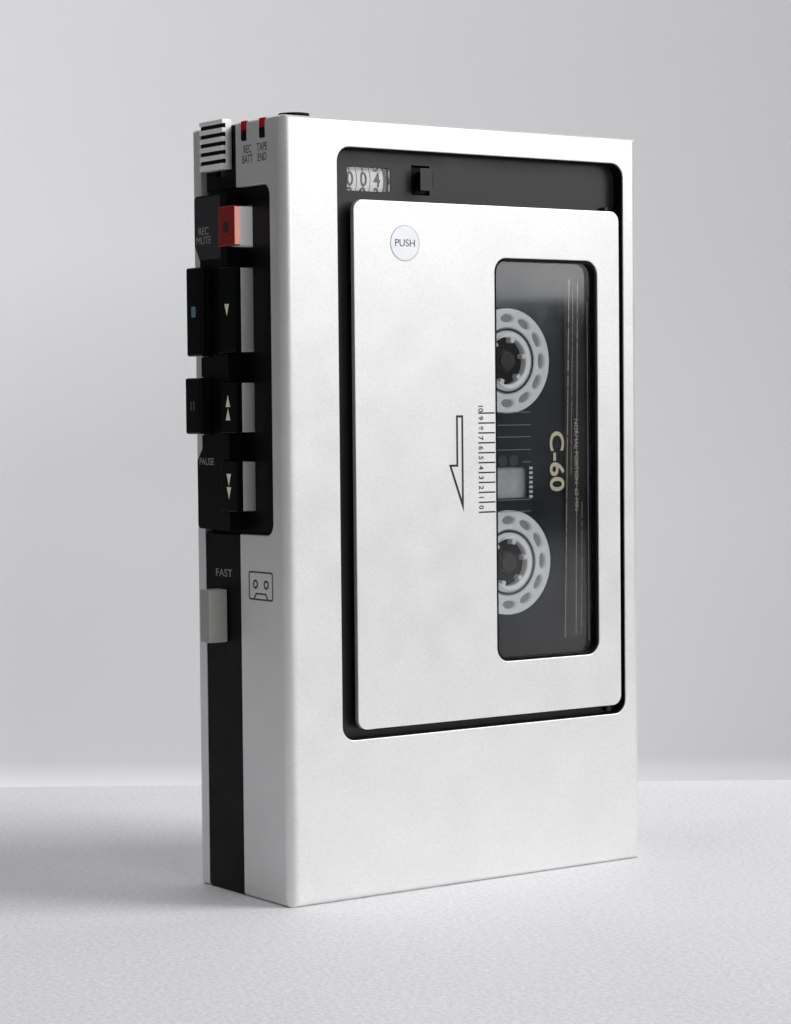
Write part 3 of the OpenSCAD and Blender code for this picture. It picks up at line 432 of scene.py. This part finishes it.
def blocks(name, boxes, slot, body, bevel, **more):
    """One piece made of rounded boxes, each given by its lowest and highest corner."""
    shape = bmesh.new()
    for lo, hi in boxes:
        middle = Matrix.Translation(at(*((a + b) / 2 for a, b in zip(lo, hi))))
        size = Matrix.Diagonal((*((b - a) * MM for a, b in zip(lo, hi)), 1))
        bmesh.ops.create_cube(shape, size=1, matrix=middle @ size)
    mesh = bpy.data.meshes.new(name)
    shape.to_mesh(mesh)
    shape.free()
    return weigh(place(name, round_off(mesh, bevel), slot, body, **more))


# Case -----------------------------------------------------------------------------

def is_plate_corner(edge):
    """Whether an edge of the key bezel is an outer corner of its raised plate."""
    first, last = ((vert.co - CORNER) / MM for vert in edge.verts)
    lengthwise = abs(first.y - last.y) < 0.01 and abs(first.z - last.z) < 0.01
    return lengthwise and first.y > 30.9 and (first.z > 141 or first.z < 75)


def build_case():
    """Shells, frame, key bezel, sliders, lamps and screws, with dark blocks between the slider's ribs as
    painted shade.
    """
    refined("front_shell", 0.22, "silver_case")
    refined("back_shell", 0.25, "silver_case")
    refined("center_frame", 0.15, "black_frame")
    refined("battery_door", 0.2, "silver_case")
    refined("key_bezel", 0.3, "black_bezel", (1.0, is_plate_corner))
    # Greyer face of the raised plate beside the record key.
    face = [(20.9, 129.0), (28.8, 129.0), (30.7, 132.1), (30.7, 141.1), (30.1, 141.7), (20.9, 141.7)]
    plate("label_plate", "left", [face], LABEL_PLATE_X + 0.03, LABEL_PLATE_X, "plate_grey", CASE,
          record_slot="black_bezel")
    refined("cassette_well", 0.0, "dark_panel")
    refined("led_windows", 0.12, "led_red")
    refined("volume_slider", 0.12, "knob_grey")
    lo, hi = span("volume_slider")
    groove_pitch, groove_w = 1.78, 0.83
    bottoms = [lo.z + 1.19 + groove_pitch * i for i in range(5)]
    # Painted shade: dark blocks between the slider's ribs.
    grooves = [((lo.x + 0.42, lo.y + 0.05, z), (lo.x + 0.82, hi.y - 0.05, z + groove_w)) for z in bottoms]
    blocks("volume_groove_shade", grooves, "black_bezel", frame["nodes"]["volume_slider"]["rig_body"], 0)
    refined("speed_slider", 0.35, "slider_grey")
    refined("reset_button", 0.2, "black_bezel")
    refined("case_screws", 0.1, "steel")


def build_recess_liner():
    """Thin black lining on the walls of the front's recess."""
    rim = rounded(12.7, 32.1, 86.7, 150.4, 3)
    inner = rounded(12.9, 32.3, 86.5, 150.2, 2.8)
    plate("recess_liner", "front", [rim, inner], 2.9, 0.3, "black_bezel", CASE)


def build_case_prints():
    """Words and marks printed on the case, and the slide arrow on the battery door."""
    side_x = span("front_shell")[0].x
    left_x = side_x - PRINT_T / 2
    for name, text, y in (("label_record", "REC\nBATT", 13.0), ("label_end", "TAPE\nEND", 7.6)):
        words(name, "left", text, y, 149.2, left_x, 1.7, "ink_dark", CASE, squeeze=0.72)
    # A small drawing of a cassette.
    body = rounded(5.4, 60.4, 14.4, 66.2, 0.6)
    frame_in = rounded(5.75, 60.75, 14.05, 65.85, 0.4)
    reels = [circle(y, 63.6, 0.95, 28) for y in (7.9, 11.9)]
    holes = [circle(y, 63.6, 0.5, 20) for y in (7.9, 11.9)]
    foot = [(7.2, 60.75), (8.0, 61.9), (11.8, 61.9), (12.6, 60.75), (12.1, 60.75), (11.5, 61.55),
            (8.3, 61.55), (7.7, 60.75)]
    for name, loops in (("cassette_mark", [body, frame_in]), ("cassette_mark_reels", [*reels, *holes, foot])):
        plate(name, "left", loops, side_x, side_x - PRINT_T, "ink_dark", CASE, record_slot="black_bezel")
    plate_x = LABEL_PLATE_X - PRINT_T / 2
    words("label_mute", "left", "REC\nMUTE", 27.4, 133.8, plate_x, 1.6, "ink_grey", CASE, squeeze=1.05)
    words("label_pause", "left", "PAUSE", 27.3, 87.9, plate_x, 1.5, "ink_grey", CASE)
    right_x = span("center_frame")[1].x + PRINT_T / 2
    sockets = (("label_ear", "EAR", 148.2), ("label_mic", "MIC", 135.2), ("label_power", "DC 3V", 117.2))
    for name, text, z in sockets:
        words(name, "right", text, 24, z, right_x, 1.5, "ink_grey", CASE)
    back_y = span("battery_door")[1].y
    arrow = [(45, 12.6), (42.6, 15.8), (44.2, 15.8), (44.2, 17.2), (45.8, 17.2), (45.8, 15.8), (47.4, 15.8)]
    plate("battery_arrow", "back", [arrow], back_y, back_y + PRINT_T, "ink_dark",
          frame["nodes"]["battery_door"]["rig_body"], record_slot="black_bezel")
    words("label_speed", "left", "FAST", 24.2, 65.2, 0.15 - PRINT_T / 2, 1.6, "ink_grey", CASE, squeeze=1.35)


# Keys -------------------------------------------------------------------------------

CAP_T = 1.6


def build_key(name, slot, body_slot, icon):
    """Key with a rounded cap, a body behind it and the icon printed on the cap."""
    node, body = "key_" + name, name + "_key"
    lo, hi = span(node)
    tail_x = hi.x - 3.0
    cap = ((lo.x, lo.y, lo.z), (lo.x + CAP_T, hi.y, hi.z))
    inset = 0.15
    stem = ((lo.x + CAP_T - 0.05, lo.y + inset, lo.z + inset), (tail_x, hi.y - inset, hi.z - inset))
    middle = (lo.z + hi.z) / 2
    tail = ((tail_x - 0.1, lo.y + 2.1, middle - 2.6), (hi.x, hi.y - 1.4, middle + 2.6))
    blocks(node + "_cap", [cap], slot, body, 0.45 if slot == "key_all_black" else 0.22, replaces=[node])
    blocks(node + "_stem", [stem, tail], body_slot, body, 0.12,
           record_slot="key_all_black" if body_slot == "key_all_black" else "silver_case")
    icon(node, body, (lo.y + hi.y) / 2, middle, lo.x)


def triangles(pattern, y, z, half, height, step):
    """Triangles in a row down a key, pattern giving each one's sense: 1 points up and -1 down."""
    loops = []
    for i, sense in enumerate(pattern):
        centre = z + (len(pattern) - 1) * step / 2 - i * step
        base, tip = centre - sense * height / 2, centre + sense * height / 2
        loops.append([(y - half, base), (y + half, base), (y, tip)])
    return loops


def icon_print(node, body, loops, x, slot):
    """Prints an icon on a key's cap."""
    plate(node + "_icon", "left", loops, x, x - PRINT_T, slot, body, record_slot=record_of(slot))


def build_keys():
    """The six keys, each with its icon, and a painted highlight on the front edge of the record key's cap."""
    def arrows(pattern):
        def draw(node, body, y, z, x):
            icon_print(node, body, triangles(pattern, y, z, 0.85, 2.4, 2.65), x, "ink_cream")
        return draw

    def dot(node, body, y, z, x):
        plate(node + "_dot", "left", [circle(y, z - 0.2, 1.15, 32)], x, x - PRINT_T, "ink_black", body,
              record_slot="black_bezel")

    def square(node, body, y, z, x):
        icon_print(node, body, [rounded(y - 0.85, z - 1.1, y + 0.85, z + 1.1, 0.3)], x, "ink_blue")

    def bars(node, body, y, z, x):
        pair = [rectangle(y + shift, z - 1, y + shift + 0.5, z + 1) for shift in (-0.8, 0.3)]
        icon_print(node, body, pair, x, "ink_dark")

    # The record key's body takes the lighter, glowing silver: painted light.
    build_key("record", "key_red", "key_silver_painted_lit", dot)
    lo, hi = span("key_record")
    # Painted highlight: a pale red strip that glows, on the front face of the record key's cap.
    strip = rounded(lo.x + 0.25, lo.z + 0.25, lo.x + CAP_T - 0.1, hi.z - 0.25, 0.1)
    plate("key_record_painted_highlight", "front", [strip], lo.y, lo.y - PRINT_T, "cap_edge_painted_highlight", "record_key",
          record_slot="key_red")
    build_key("play", "key_black", "key_silver", arrows([-1]))
    build_key("rewind", "key_black", "key_silver", arrows([1, 1]))
    build_key("forward", "key_black", "key_silver", arrows([-1, -1]))
    build_key("stop", "key_all_black", "key_all_black", square)
    build_key("pause", "key_all_black", "key_all_black", bars)


# Counter ------------------------------------------------------------------------------

COUNTER_AXIS = (9.3, 144.45)


def bent_digit(digit, first, radius, middle):
    """One digit of a number wheel, bent round the wheel a tenth of a turn for each step from the first."""
    font = bpy.data.curves.new(f"digit_{digit}", "FONT")
    font.body = str((first + digit) % 10)
    font.size = 4.1
    font.align_x = "CENTER"
    font.align_y = "CENTER"
    font.offset = 0.09
    font.extrude = 0.02
    shape = bmesh.new()
    shape.from_mesh(drawn(font.name, font, Matrix.Identity(4)))
    # Cut across at every 0.2 mm, so that it follows the curve.
    for level in range(-9, 10):
        everything = [*shape.verts, *shape.edges, *shape.faces]
        bmesh.ops.bisect_plane(shape, geom=everything, plane_co=(0, level * 0.2, 0), plane_no=(0, 1, 0))
    for vert in shape.verts:
        turn = vert.co.y / radius + math.radians(36 * digit)
        reach = radius + 0.04 + vert.co.z
        vert.co = at(middle.x + vert.co.x * 0.8, middle.y - reach * math.cos(turn),
                     middle.z + reach * math.sin(turn))
    bent = bpy.data.meshes.new(font.name)
    shape.to_mesh(bent)
    shape.free()
    return bent


def build_counter():
    """Digits and dark gaps of the three number wheels, the lens over them and the reset button's face."""
    for name, first in (("hundreds", 0), ("tens", 0), ("ones", 4)):
        lo, hi = span("counter_wheel_" + name)
        digits = bmesh.new()
        for digit in range(10):
            digits.from_mesh(bent_digit(digit, first, (hi.z - lo.z) / 2, (lo + hi) / 2))
        mesh = bpy.data.meshes.new("digits_" + name)
        digits.to_mesh(mesh)
        digits.free()
        place("digits_" + name, mesh, "black_bezel", "counter_" + name)
    for name, gap in (("hundreds", 0.17), ("tens", 0.17), ("ones", 0.5)):
        right = span("counter_wheel_" + name)[1].x
        disc = [circle(*COUNTER_AXIS, 5.02), circle(*COUNTER_AXIS, 1.2)]
        plate("counter_gap_" + name, "left", disc, right + 0.03, right + gap, "black_bezel", CASE)
    opening = rectangle(17.05, 142.05, 27.55, 146.85)
    lo, hi = span("reset_button")
    face = rounded(lo.x + 0.3, lo.z + 0.55, hi.x - 0.9, hi.z - 0.55, 0.2)
    plate("reset_face", "front", [face], lo.y, lo.y - PRINT_T, "plate_grey",
          frame["nodes"]["reset_button"]["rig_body"], record_slot="dark_panel")
    plate("counter_lens", "front", [opening], 3.6, 3.0, "clear_window", CASE, 0.1)


# Door ------------------------------------------------------------------------------------

def build_door():
    """Door panel, holder and window with its gasket, and the marks printed on the door."""
    refined("door_panel", 0.22, "door_silver")
    refined("door_holder", 0.0, "black_bezel")
    refined("window_pane", 0.15, "clear_window")
    gasket = [rounded(51.84, 45.44, 79.36, 129.36, 2.96), rounded(52.35, 45.95, 78.85, 128.85, 2.45)]
    plate("window_gasket", "front", gasket, 1.19, 0.25, "black_bezel", DOOR, 0.05)
    face = span("door_panel")[0].y
    ink = (face, face - PRINT_T)
    push, push_r, push_t = (29, 131.7), 3.48, 0.06
    plate("push_ring", "front", [circle(*push, 3.6), circle(*push, push_r)], face, face - 0.05, "ink_grey",
          DOOR, record_slot="knob_grey")
    plate("push_disc", "front", [circle(*push, push_r)], face, face - push_t, "push_disc", DOOR, 0.04,
          record_slot="door_silver")
    words("push_word", "front", "PUSH", *push, face - push_t - PRINT_T / 2, 1.5, "ink_dark", DOOR,
          squeeze=1.05)
    outer = [(41.5, 96.9), (43.3, 96.9), (43.3, 77.0), (39.6, 86.8), (41.5, 86.8)]
    inner = [(41.95, 96.45), (42.85, 96.45), (42.85, 79.6), (40.28, 86.35), (41.95, 86.35)]
    plate("arrow", "front", [outer, inner], *ink, "ink_black", DOOR, record_slot="black_bezel")
    ticks = []
    scale_z, scale_step = 76.8, 2.05
    for i in range(11):
        z = scale_z + i * scale_step
        ticks.append(rectangle(47.2, z - 0.15, 51.5, z + 0.15))
        words(f"scale_{i}", "front", str(i), 47.8, z + 1.0, face - PRINT_T / 2, 1.2, "ink_dark", DOOR,
              turn=-90, bold=0.04)
    plate("scale_ticks", "front", ticks, *ink, "ink_black", DOOR, record_slot="black_bezel")


# Cassette ------------------------------------------------------------------------------------

def hub_height(radius, angle):
    """How far the hub's face stands back from its rim, in millimetres."""
    if radius > 7.0:
        step = math.radians(30)
        off = (angle + step / 2) % step - step / 2
        # Each hollow is an oval, 3.7 mm round the hub and 1.9 mm across it.
        along, across = off * 9.0 / 1.85, (radius - 8.95) / 0.95
        dish = 1 - along * along - across * across
        return 1.1 * min(1.0, 2.6 * dish) if dish > 0 else 0.0
    if radius > 6.3:
        return 1.9
    return 0.25 - 0.35 * math.sin(math.pi * (radius - 5.0) / 1.3)


def build_hub(name, body):
    """Hub with its twelve hollows, a groove, a raised inner ring and six teeth, with painted shade: a black
    ring over the groove and a dark ring in the bore, which also stands for the black spindle behind.
    """
    node = name + "_hub"
    lo, hi = span(node)
    cx, cz = (lo.x + hi.x) / 2, (lo.z + hi.z) / 2
    face_y, back_y = 4.45, 9.4
    radii = [5.0, 5.15, 5.4, 5.65, 5.9, 6.1, 6.3, 6.34, 6.6, 6.86, 6.9]
    radii += [7.1 + 0.13 * i for i in range(30)] + [11.0]
    turns = 288
    shape = bmesh.new()

    def ring(radius, depth):
        return [shape.verts.new(at(cx + radius * math.cos(a), depth(radius, a), cz + radius * math.sin(a)))
                for a in (2 * math.pi * i / turns for i in range(turns))]

    def bridge(first, second):
        for i in range(turns):
            j = (i + 1) % turns
            shape.faces.new((first[i], first[j], second[j], second[i]))

    def face_depth(radius, angle):
        return face_y + hub_height(radius, angle)

    rings = [ring(5.0, lambda r, a: back_y)]
    rings += [ring(r, face_depth) for r in radii]
    rings += [ring(11.0, lambda r, a: back_y)]
    for first, second in zip(rings, rings[1:]):
        bridge(first, second)
    bridge(rings[-1], rings[0])
    bmesh.ops.recalc_face_normals(shape, faces=shape.faces)
    for face in shape.faces:
        face.smooth = True
    for edge in shape.edges:
        edge.smooth = edge.calc_face_angle(0) < math.radians(50)
    mesh = bpy.data.meshes.new("hub_" + name)
    shape.to_mesh(mesh)
    shape.free()
    place("hub_" + name, mesh, "hub_painted_light_and_shade", body, [node], "hub_white")
    teeth = []
    for i in range(6):
        a = math.radians(60 * i + 12)
        out, side = Vector((math.cos(a), math.sin(a))), Vector((-math.sin(a), math.cos(a)))
        corners = [out * 5.1 + side * 0.6, out * 4.0 + side * 0.45,
                   out * 4.0 - side * 0.45, out * 5.1 - side * 0.6]
        teeth.append([(cx + c.x, cz + c.y) for c in corners])
    # Painted shade: a black ring over each hub's groove, and a dark ring in the bore that also stands for the
    # black spindle behind the hub.
    groove = [circle(cx, cz, 6.78), circle(cx, cz, 6.46)]
    sleeve = [circle(cx, cz, 5.02), circle(cx, cz, 2.45)]
    plate("hub_groove_shade_" + name, "front", groove, face_y + 0.1, face_y - 0.02, "black_bezel", body)
    plate("hub_teeth_" + name, "front", teeth, 6.4, 4.6, "hub_white", body, 0.12)
    plate("hub_spindle_and_shade_" + name, "front", sleeve, 6.7, 6.4, "black_bezel", body)


def build_cassette():
    """Inside of the smoked cassette: its liner, prints, hubs and small fittings."""
    for name in ("supply", "takeup"):
        build_hub(name, name + "_tape")
    shell_lo, shell_hi = span("cassette_front_half")
    hubs = []
    for name in ("supply", "takeup"):
        lo, hi = span(name + "_hub")
        hubs.append(((lo.x + hi.x) / 2, (lo.z + hi.z) / 2))
    outline = rounded(30.4, shell_lo.z + 1.7, shell_hi.x - 1.6, shell_hi.z - 1.7, 1.5)
    sight = rounded(46.5, 79.3, 63.4, 85.8, 0.5)
    holes = [circle(x, z, 11.25) for x, z in hubs]
    plate("liner", "front", [outline, sight, *holes], 4.4, 4.33, "slate_film", DOOR,
          record_slot="smoked_shell")
    front = 3.2
    ink = (front, front - PRINT_T)
    # Upper and lower end of each foil line, and half its width.
    lines = [(74.25, 125.5, 72.55, 49.0, 0.11), (76.55, 125.0, 75.55, 49.7, 0.11),
             (77.45, 78.0, 77.05, 49.7, 0.13), (75.25, 123.0, 74.45, 84.0, 0.06)]
    foil = [[(xa - w, za), (xa + w, za), (xb + w, zb), (xb - w, zb)] for xa, za, xb, zb, w in lines]
    plate("label_lines", "front", foil, *ink, "gold_foil", DOOR, record_slot="brass")
    plate("label_edge", "front", [rectangle(79.35, 44, 86.0, 130)], *ink, "black_film", DOOR,
          record_slot="black_bezel")
    # Painted highlight: a thin white line along the cassette's edge, beside the dark strip.
    plate("label_edge_painted_highlight", "front", [rectangle(79.05, 48, 79.25, 121)], front, front - 0.06, "ink_white",
          DOOR, record_slot="hub_white")
    words("cassette_size", "front", "C-60", 70.4, 86.9, front - PRINT_T / 2, 3.9, "ink_cream", DOOR,
          turn=-90, squeeze=1.2, bold=0.09)
    words("cassette_note", "front", "NORMAL POSITION  60 MIN", 75.9, 86.0, front - PRINT_T / 2, 1.0,
          "ink_cream", DOOR, turn=-90, squeeze=1.15)
    ticks = [rectangle(46, z - 0.07, 63.55, z + 0.07) for z in (97.4, 94.7, 92.2, 89.5, 79.0, 76.5)]
    ticks.append(rectangle(61.4, 86.83, 63.55, 86.97))
    dashes = [rectangle(63.05, 79.3 + i, 63.95, 79.3 + i + 0.55) for i in range(7)]
    plate("cassette_ticks", "front", ticks, *ink, "ink_grey", DOOR, record_slot="knob_grey")
    plate("cassette_dashes", "front", dashes, *ink, "ink_white", DOOR, record_slot="hub_white")
    plate("sight_back", "front", [rounded(46, 78.8, 63.9, 86.3, 0.5)], 5.35, 5.25, "sight_grey", DOOR,
          record_slot="knob_grey")
    plate("label_panel", "front", [rectangle(72.9, 49.2, 79.1, 125.4)], front + 0.12, front + 0.06,
          "black_film", DOOR, record_slot="black_bezel")
    for name, x in (("left", 56.6), ("right", 59.5)):
        plate("peg_" + name, "front", [circle(x, 87.15, 1.25, 32)], 4.32, 3.9, "ink_dark", DOOR, 0.25,
              record_slot="knob_grey")


# CAD nodes that show ------------------------------------------------------------------------------

def dress_nodes():
    """Gives each CAD node that still shows the material of its slot in the record."""
    for part in frame["record"]["subparts"]:
        node = frame["nodes"][part["node"]]
        node.data.materials.clear()
        node.data.materials.append(SKINS[part["material_slot"]])


# Stage ------------------------------------------------------------------------------------------

CAMERA_AT = at(-266.06, -412.06, 98.77)
YAW, PITCH, ROLL = math.radians(35.333), math.radians(2.406), math.radians(0.546)
WALL_DISTANCE = 0.659  # metres from the camera, along the floor


def camera_axes():
    """Right, up and forward of the camera."""
    forward = Vector((math.sin(YAW) * math.cos(PITCH), math.cos(YAW) * math.cos(PITCH), -math.sin(PITCH)))
    level = Vector((math.cos(YAW), -math.sin(YAW), 0))
    up = level.cross(forward)
    right = math.cos(ROLL) * level - math.sin(ROLL) * up
    return right, math.sin(ROLL) * level + math.cos(ROLL) * up, forward


def build_camera():
    """Camera at the photo's viewing angle."""
    right, up, forward = camera_axes()
    data = bpy.data.cameras.new("camera")
    data.lens = 88.03
    data.sensor_width = 36
    data.clip_start = 0.01
    camera = bpy.data.objects.new("camera", data)
    matrix = Matrix((right, up, -forward)).transposed().to_4x4()
    matrix.translation = CAMERA_AT
    camera.matrix_world = matrix
    bpy.context.scene.collection.objects.link(camera)
    bpy.context.scene.camera = camera


def stage_mesh(name, verts, faces, material, smooth=False):
    """Puts a surface of the stage in the scene."""
    mesh = bpy.data.meshes.new(name)
    mesh.from_pydata([tuple(v) for v in verts], [], faces)
    mesh.materials.append(material)
    for polygon in mesh.polygons:
        polygon.use_smooth = smooth
    piece = bpy.data.objects.new(name, mesh)
    bpy.context.scene.collection.objects.link(piece)
    return piece


def one_sided(material):
    """Makes a stage surface see-through from behind."""
    tree = material.node_tree
    shader = tree.nodes["Principled BSDF"]
    behind = add(tree, "ShaderNodeNewGeometry").outputs["Backfacing"]
    mix = add(tree, "ShaderNodeMixShader")
    tree.links.new(behind, mix.inputs["Fac"])
    tree.links.new(shader.outputs[0], mix.inputs[1])
    tree.links.new(add(tree, "ShaderNodeBsdfTransparent").outputs[0], mix.inputs[2])
    tree.links.new(mix.outputs[0], tree.nodes["Material Output"].inputs["Surface"])


def build_stage():
    """Pale speckled floor, and a wall across the view a little way behind the object. Both carry painted
    light and shade: the floor darkens further out to the front right, and the wall glows a little, is darker
    near the floor and goes from lighter at the left to darker at the right.
    """
    floor_skin = skin("stage_floor", (0.79, 0.79, 0.81), 0.70, 0, (60, 0.03), (1.1, 0.10), (1.0, 0.14), 0.06)
    # Painted shade: the floor darkens further out towards the front right.
    shade_along(floor_skin, (0.65, -0.76, 0), 0.17, 0.42, 1.0, 0.2)
    stage_mesh("stage_floor", [(-2, -2, 0), (2, -2, 0), (2, 2, 0), (-2, 2, 0)], [(0, 1, 2, 3)], floor_skin)
    away = Vector((math.sin(YAW), math.cos(YAW), 0))
    across = Vector((math.cos(YAW), -math.sin(YAW), 0))
    foot = Vector((CAMERA_AT.x, CAMERA_AT.y, 0)) + away * WALL_DISTANCE
    # Painted light: the wall glows a little.
    glow = {"Emission Color": (0.99, 0.99, 1.0, 1), "Emission Strength": 0.12}
    wall_skin = skin("stage_wall", (0.86, 0.86, 0.88), 0.9, 0, (200, 0.02), (3, 0.005), (3, 0.001), 0.02,
                     sockets=glow)
    one_sided(wall_skin)
    # Painted shade near the floor, and painted light and shade across the wall: lighter at the left, darker
    # at the right.
    shade_along(wall_skin, (0, 0, 1), 0.0, 0.07, 0.86, 1.0)
    middle = foot.dot(across)
    shade_along(wall_skin, across, middle - 0.12, middle + 0.12, 1.13, 0.62)
    cove, half, height, steps = 0.006, 0.17, 0.5, 8
    profile = [foot - away * cove * (1 - math.sin(a)) + Vector((0, 0, cove * (1 - math.cos(a)) + 0.0001))
               for a in (math.pi / 2 * i / steps for i in range(steps + 1))]
    profile.append(foot + Vector((0, 0, height)))
    verts = [p + across * side * half for p in profile for side in (-1, 1)]
    faces = [(2 * i, 2 * i + 1, 2 * i + 3, 2 * i + 2) for i in range(len(profile) - 1)]
    stage_mesh("stage_wall", verts, faces, wall_skin, smooth=True)


def softbox(name, place_at, look_at, width, height, power):
    """Soft rectangular light, its places and sizes in metres and its power in watts."""
    data = bpy.data.lights.new(name, "AREA")
    data.shape = "RECTANGLE"
    data.size, data.size_y, data.energy = width, height, power
    lamp = bpy.data.objects.new(name, data)
    lamp.location = place_at
    lamp.rotation_euler = (Vector(look_at) - Vector(place_at)).to_track_quat("-Z", "Y").to_euler()
    bpy.context.scene.collection.objects.link(lamp)


def build_light():
    """Studio light: the key and the side light from the right, and weaker ones for the front and the wall."""
    world = bpy.data.worlds.new("world")
    world.use_nodes = True
    world.node_tree.nodes["Background"].inputs["Color"].default_value = (0.80, 0.81, 0.83, 1)
    world.node_tree.nodes["Background"].inputs["Strength"].default_value = 0.08
    bpy.context.scene.world = world
    softbox("key_softbox", (0.75, -0.65, 0.85), (0, 0, 0.06), 0.55, 0.55, 10.6)
    softbox("side_softbox", (0.75, -1.05, 0.60), (0, 0, 0.09), 1.0, 0.9, 4.6)
    softbox("front_softbox", (-0.10, -1.25, 0.55), (0, 0, 0.08), 0.5, 0.5, 3.5)
    softbox("wall_softbox", (-0.40, 0.12, 0.90), (-0.16, 0.30, 0.12), 0.5, 0.5, 1.5)
    bpy.context.scene.view_settings.view_transform = "Standard"


build_case()
build_recess_liner()
build_case_prints()
build_keys()
build_counter()
build_door()
build_cassette()
dress_nodes()
build_stage()
build_light()
build_camera()
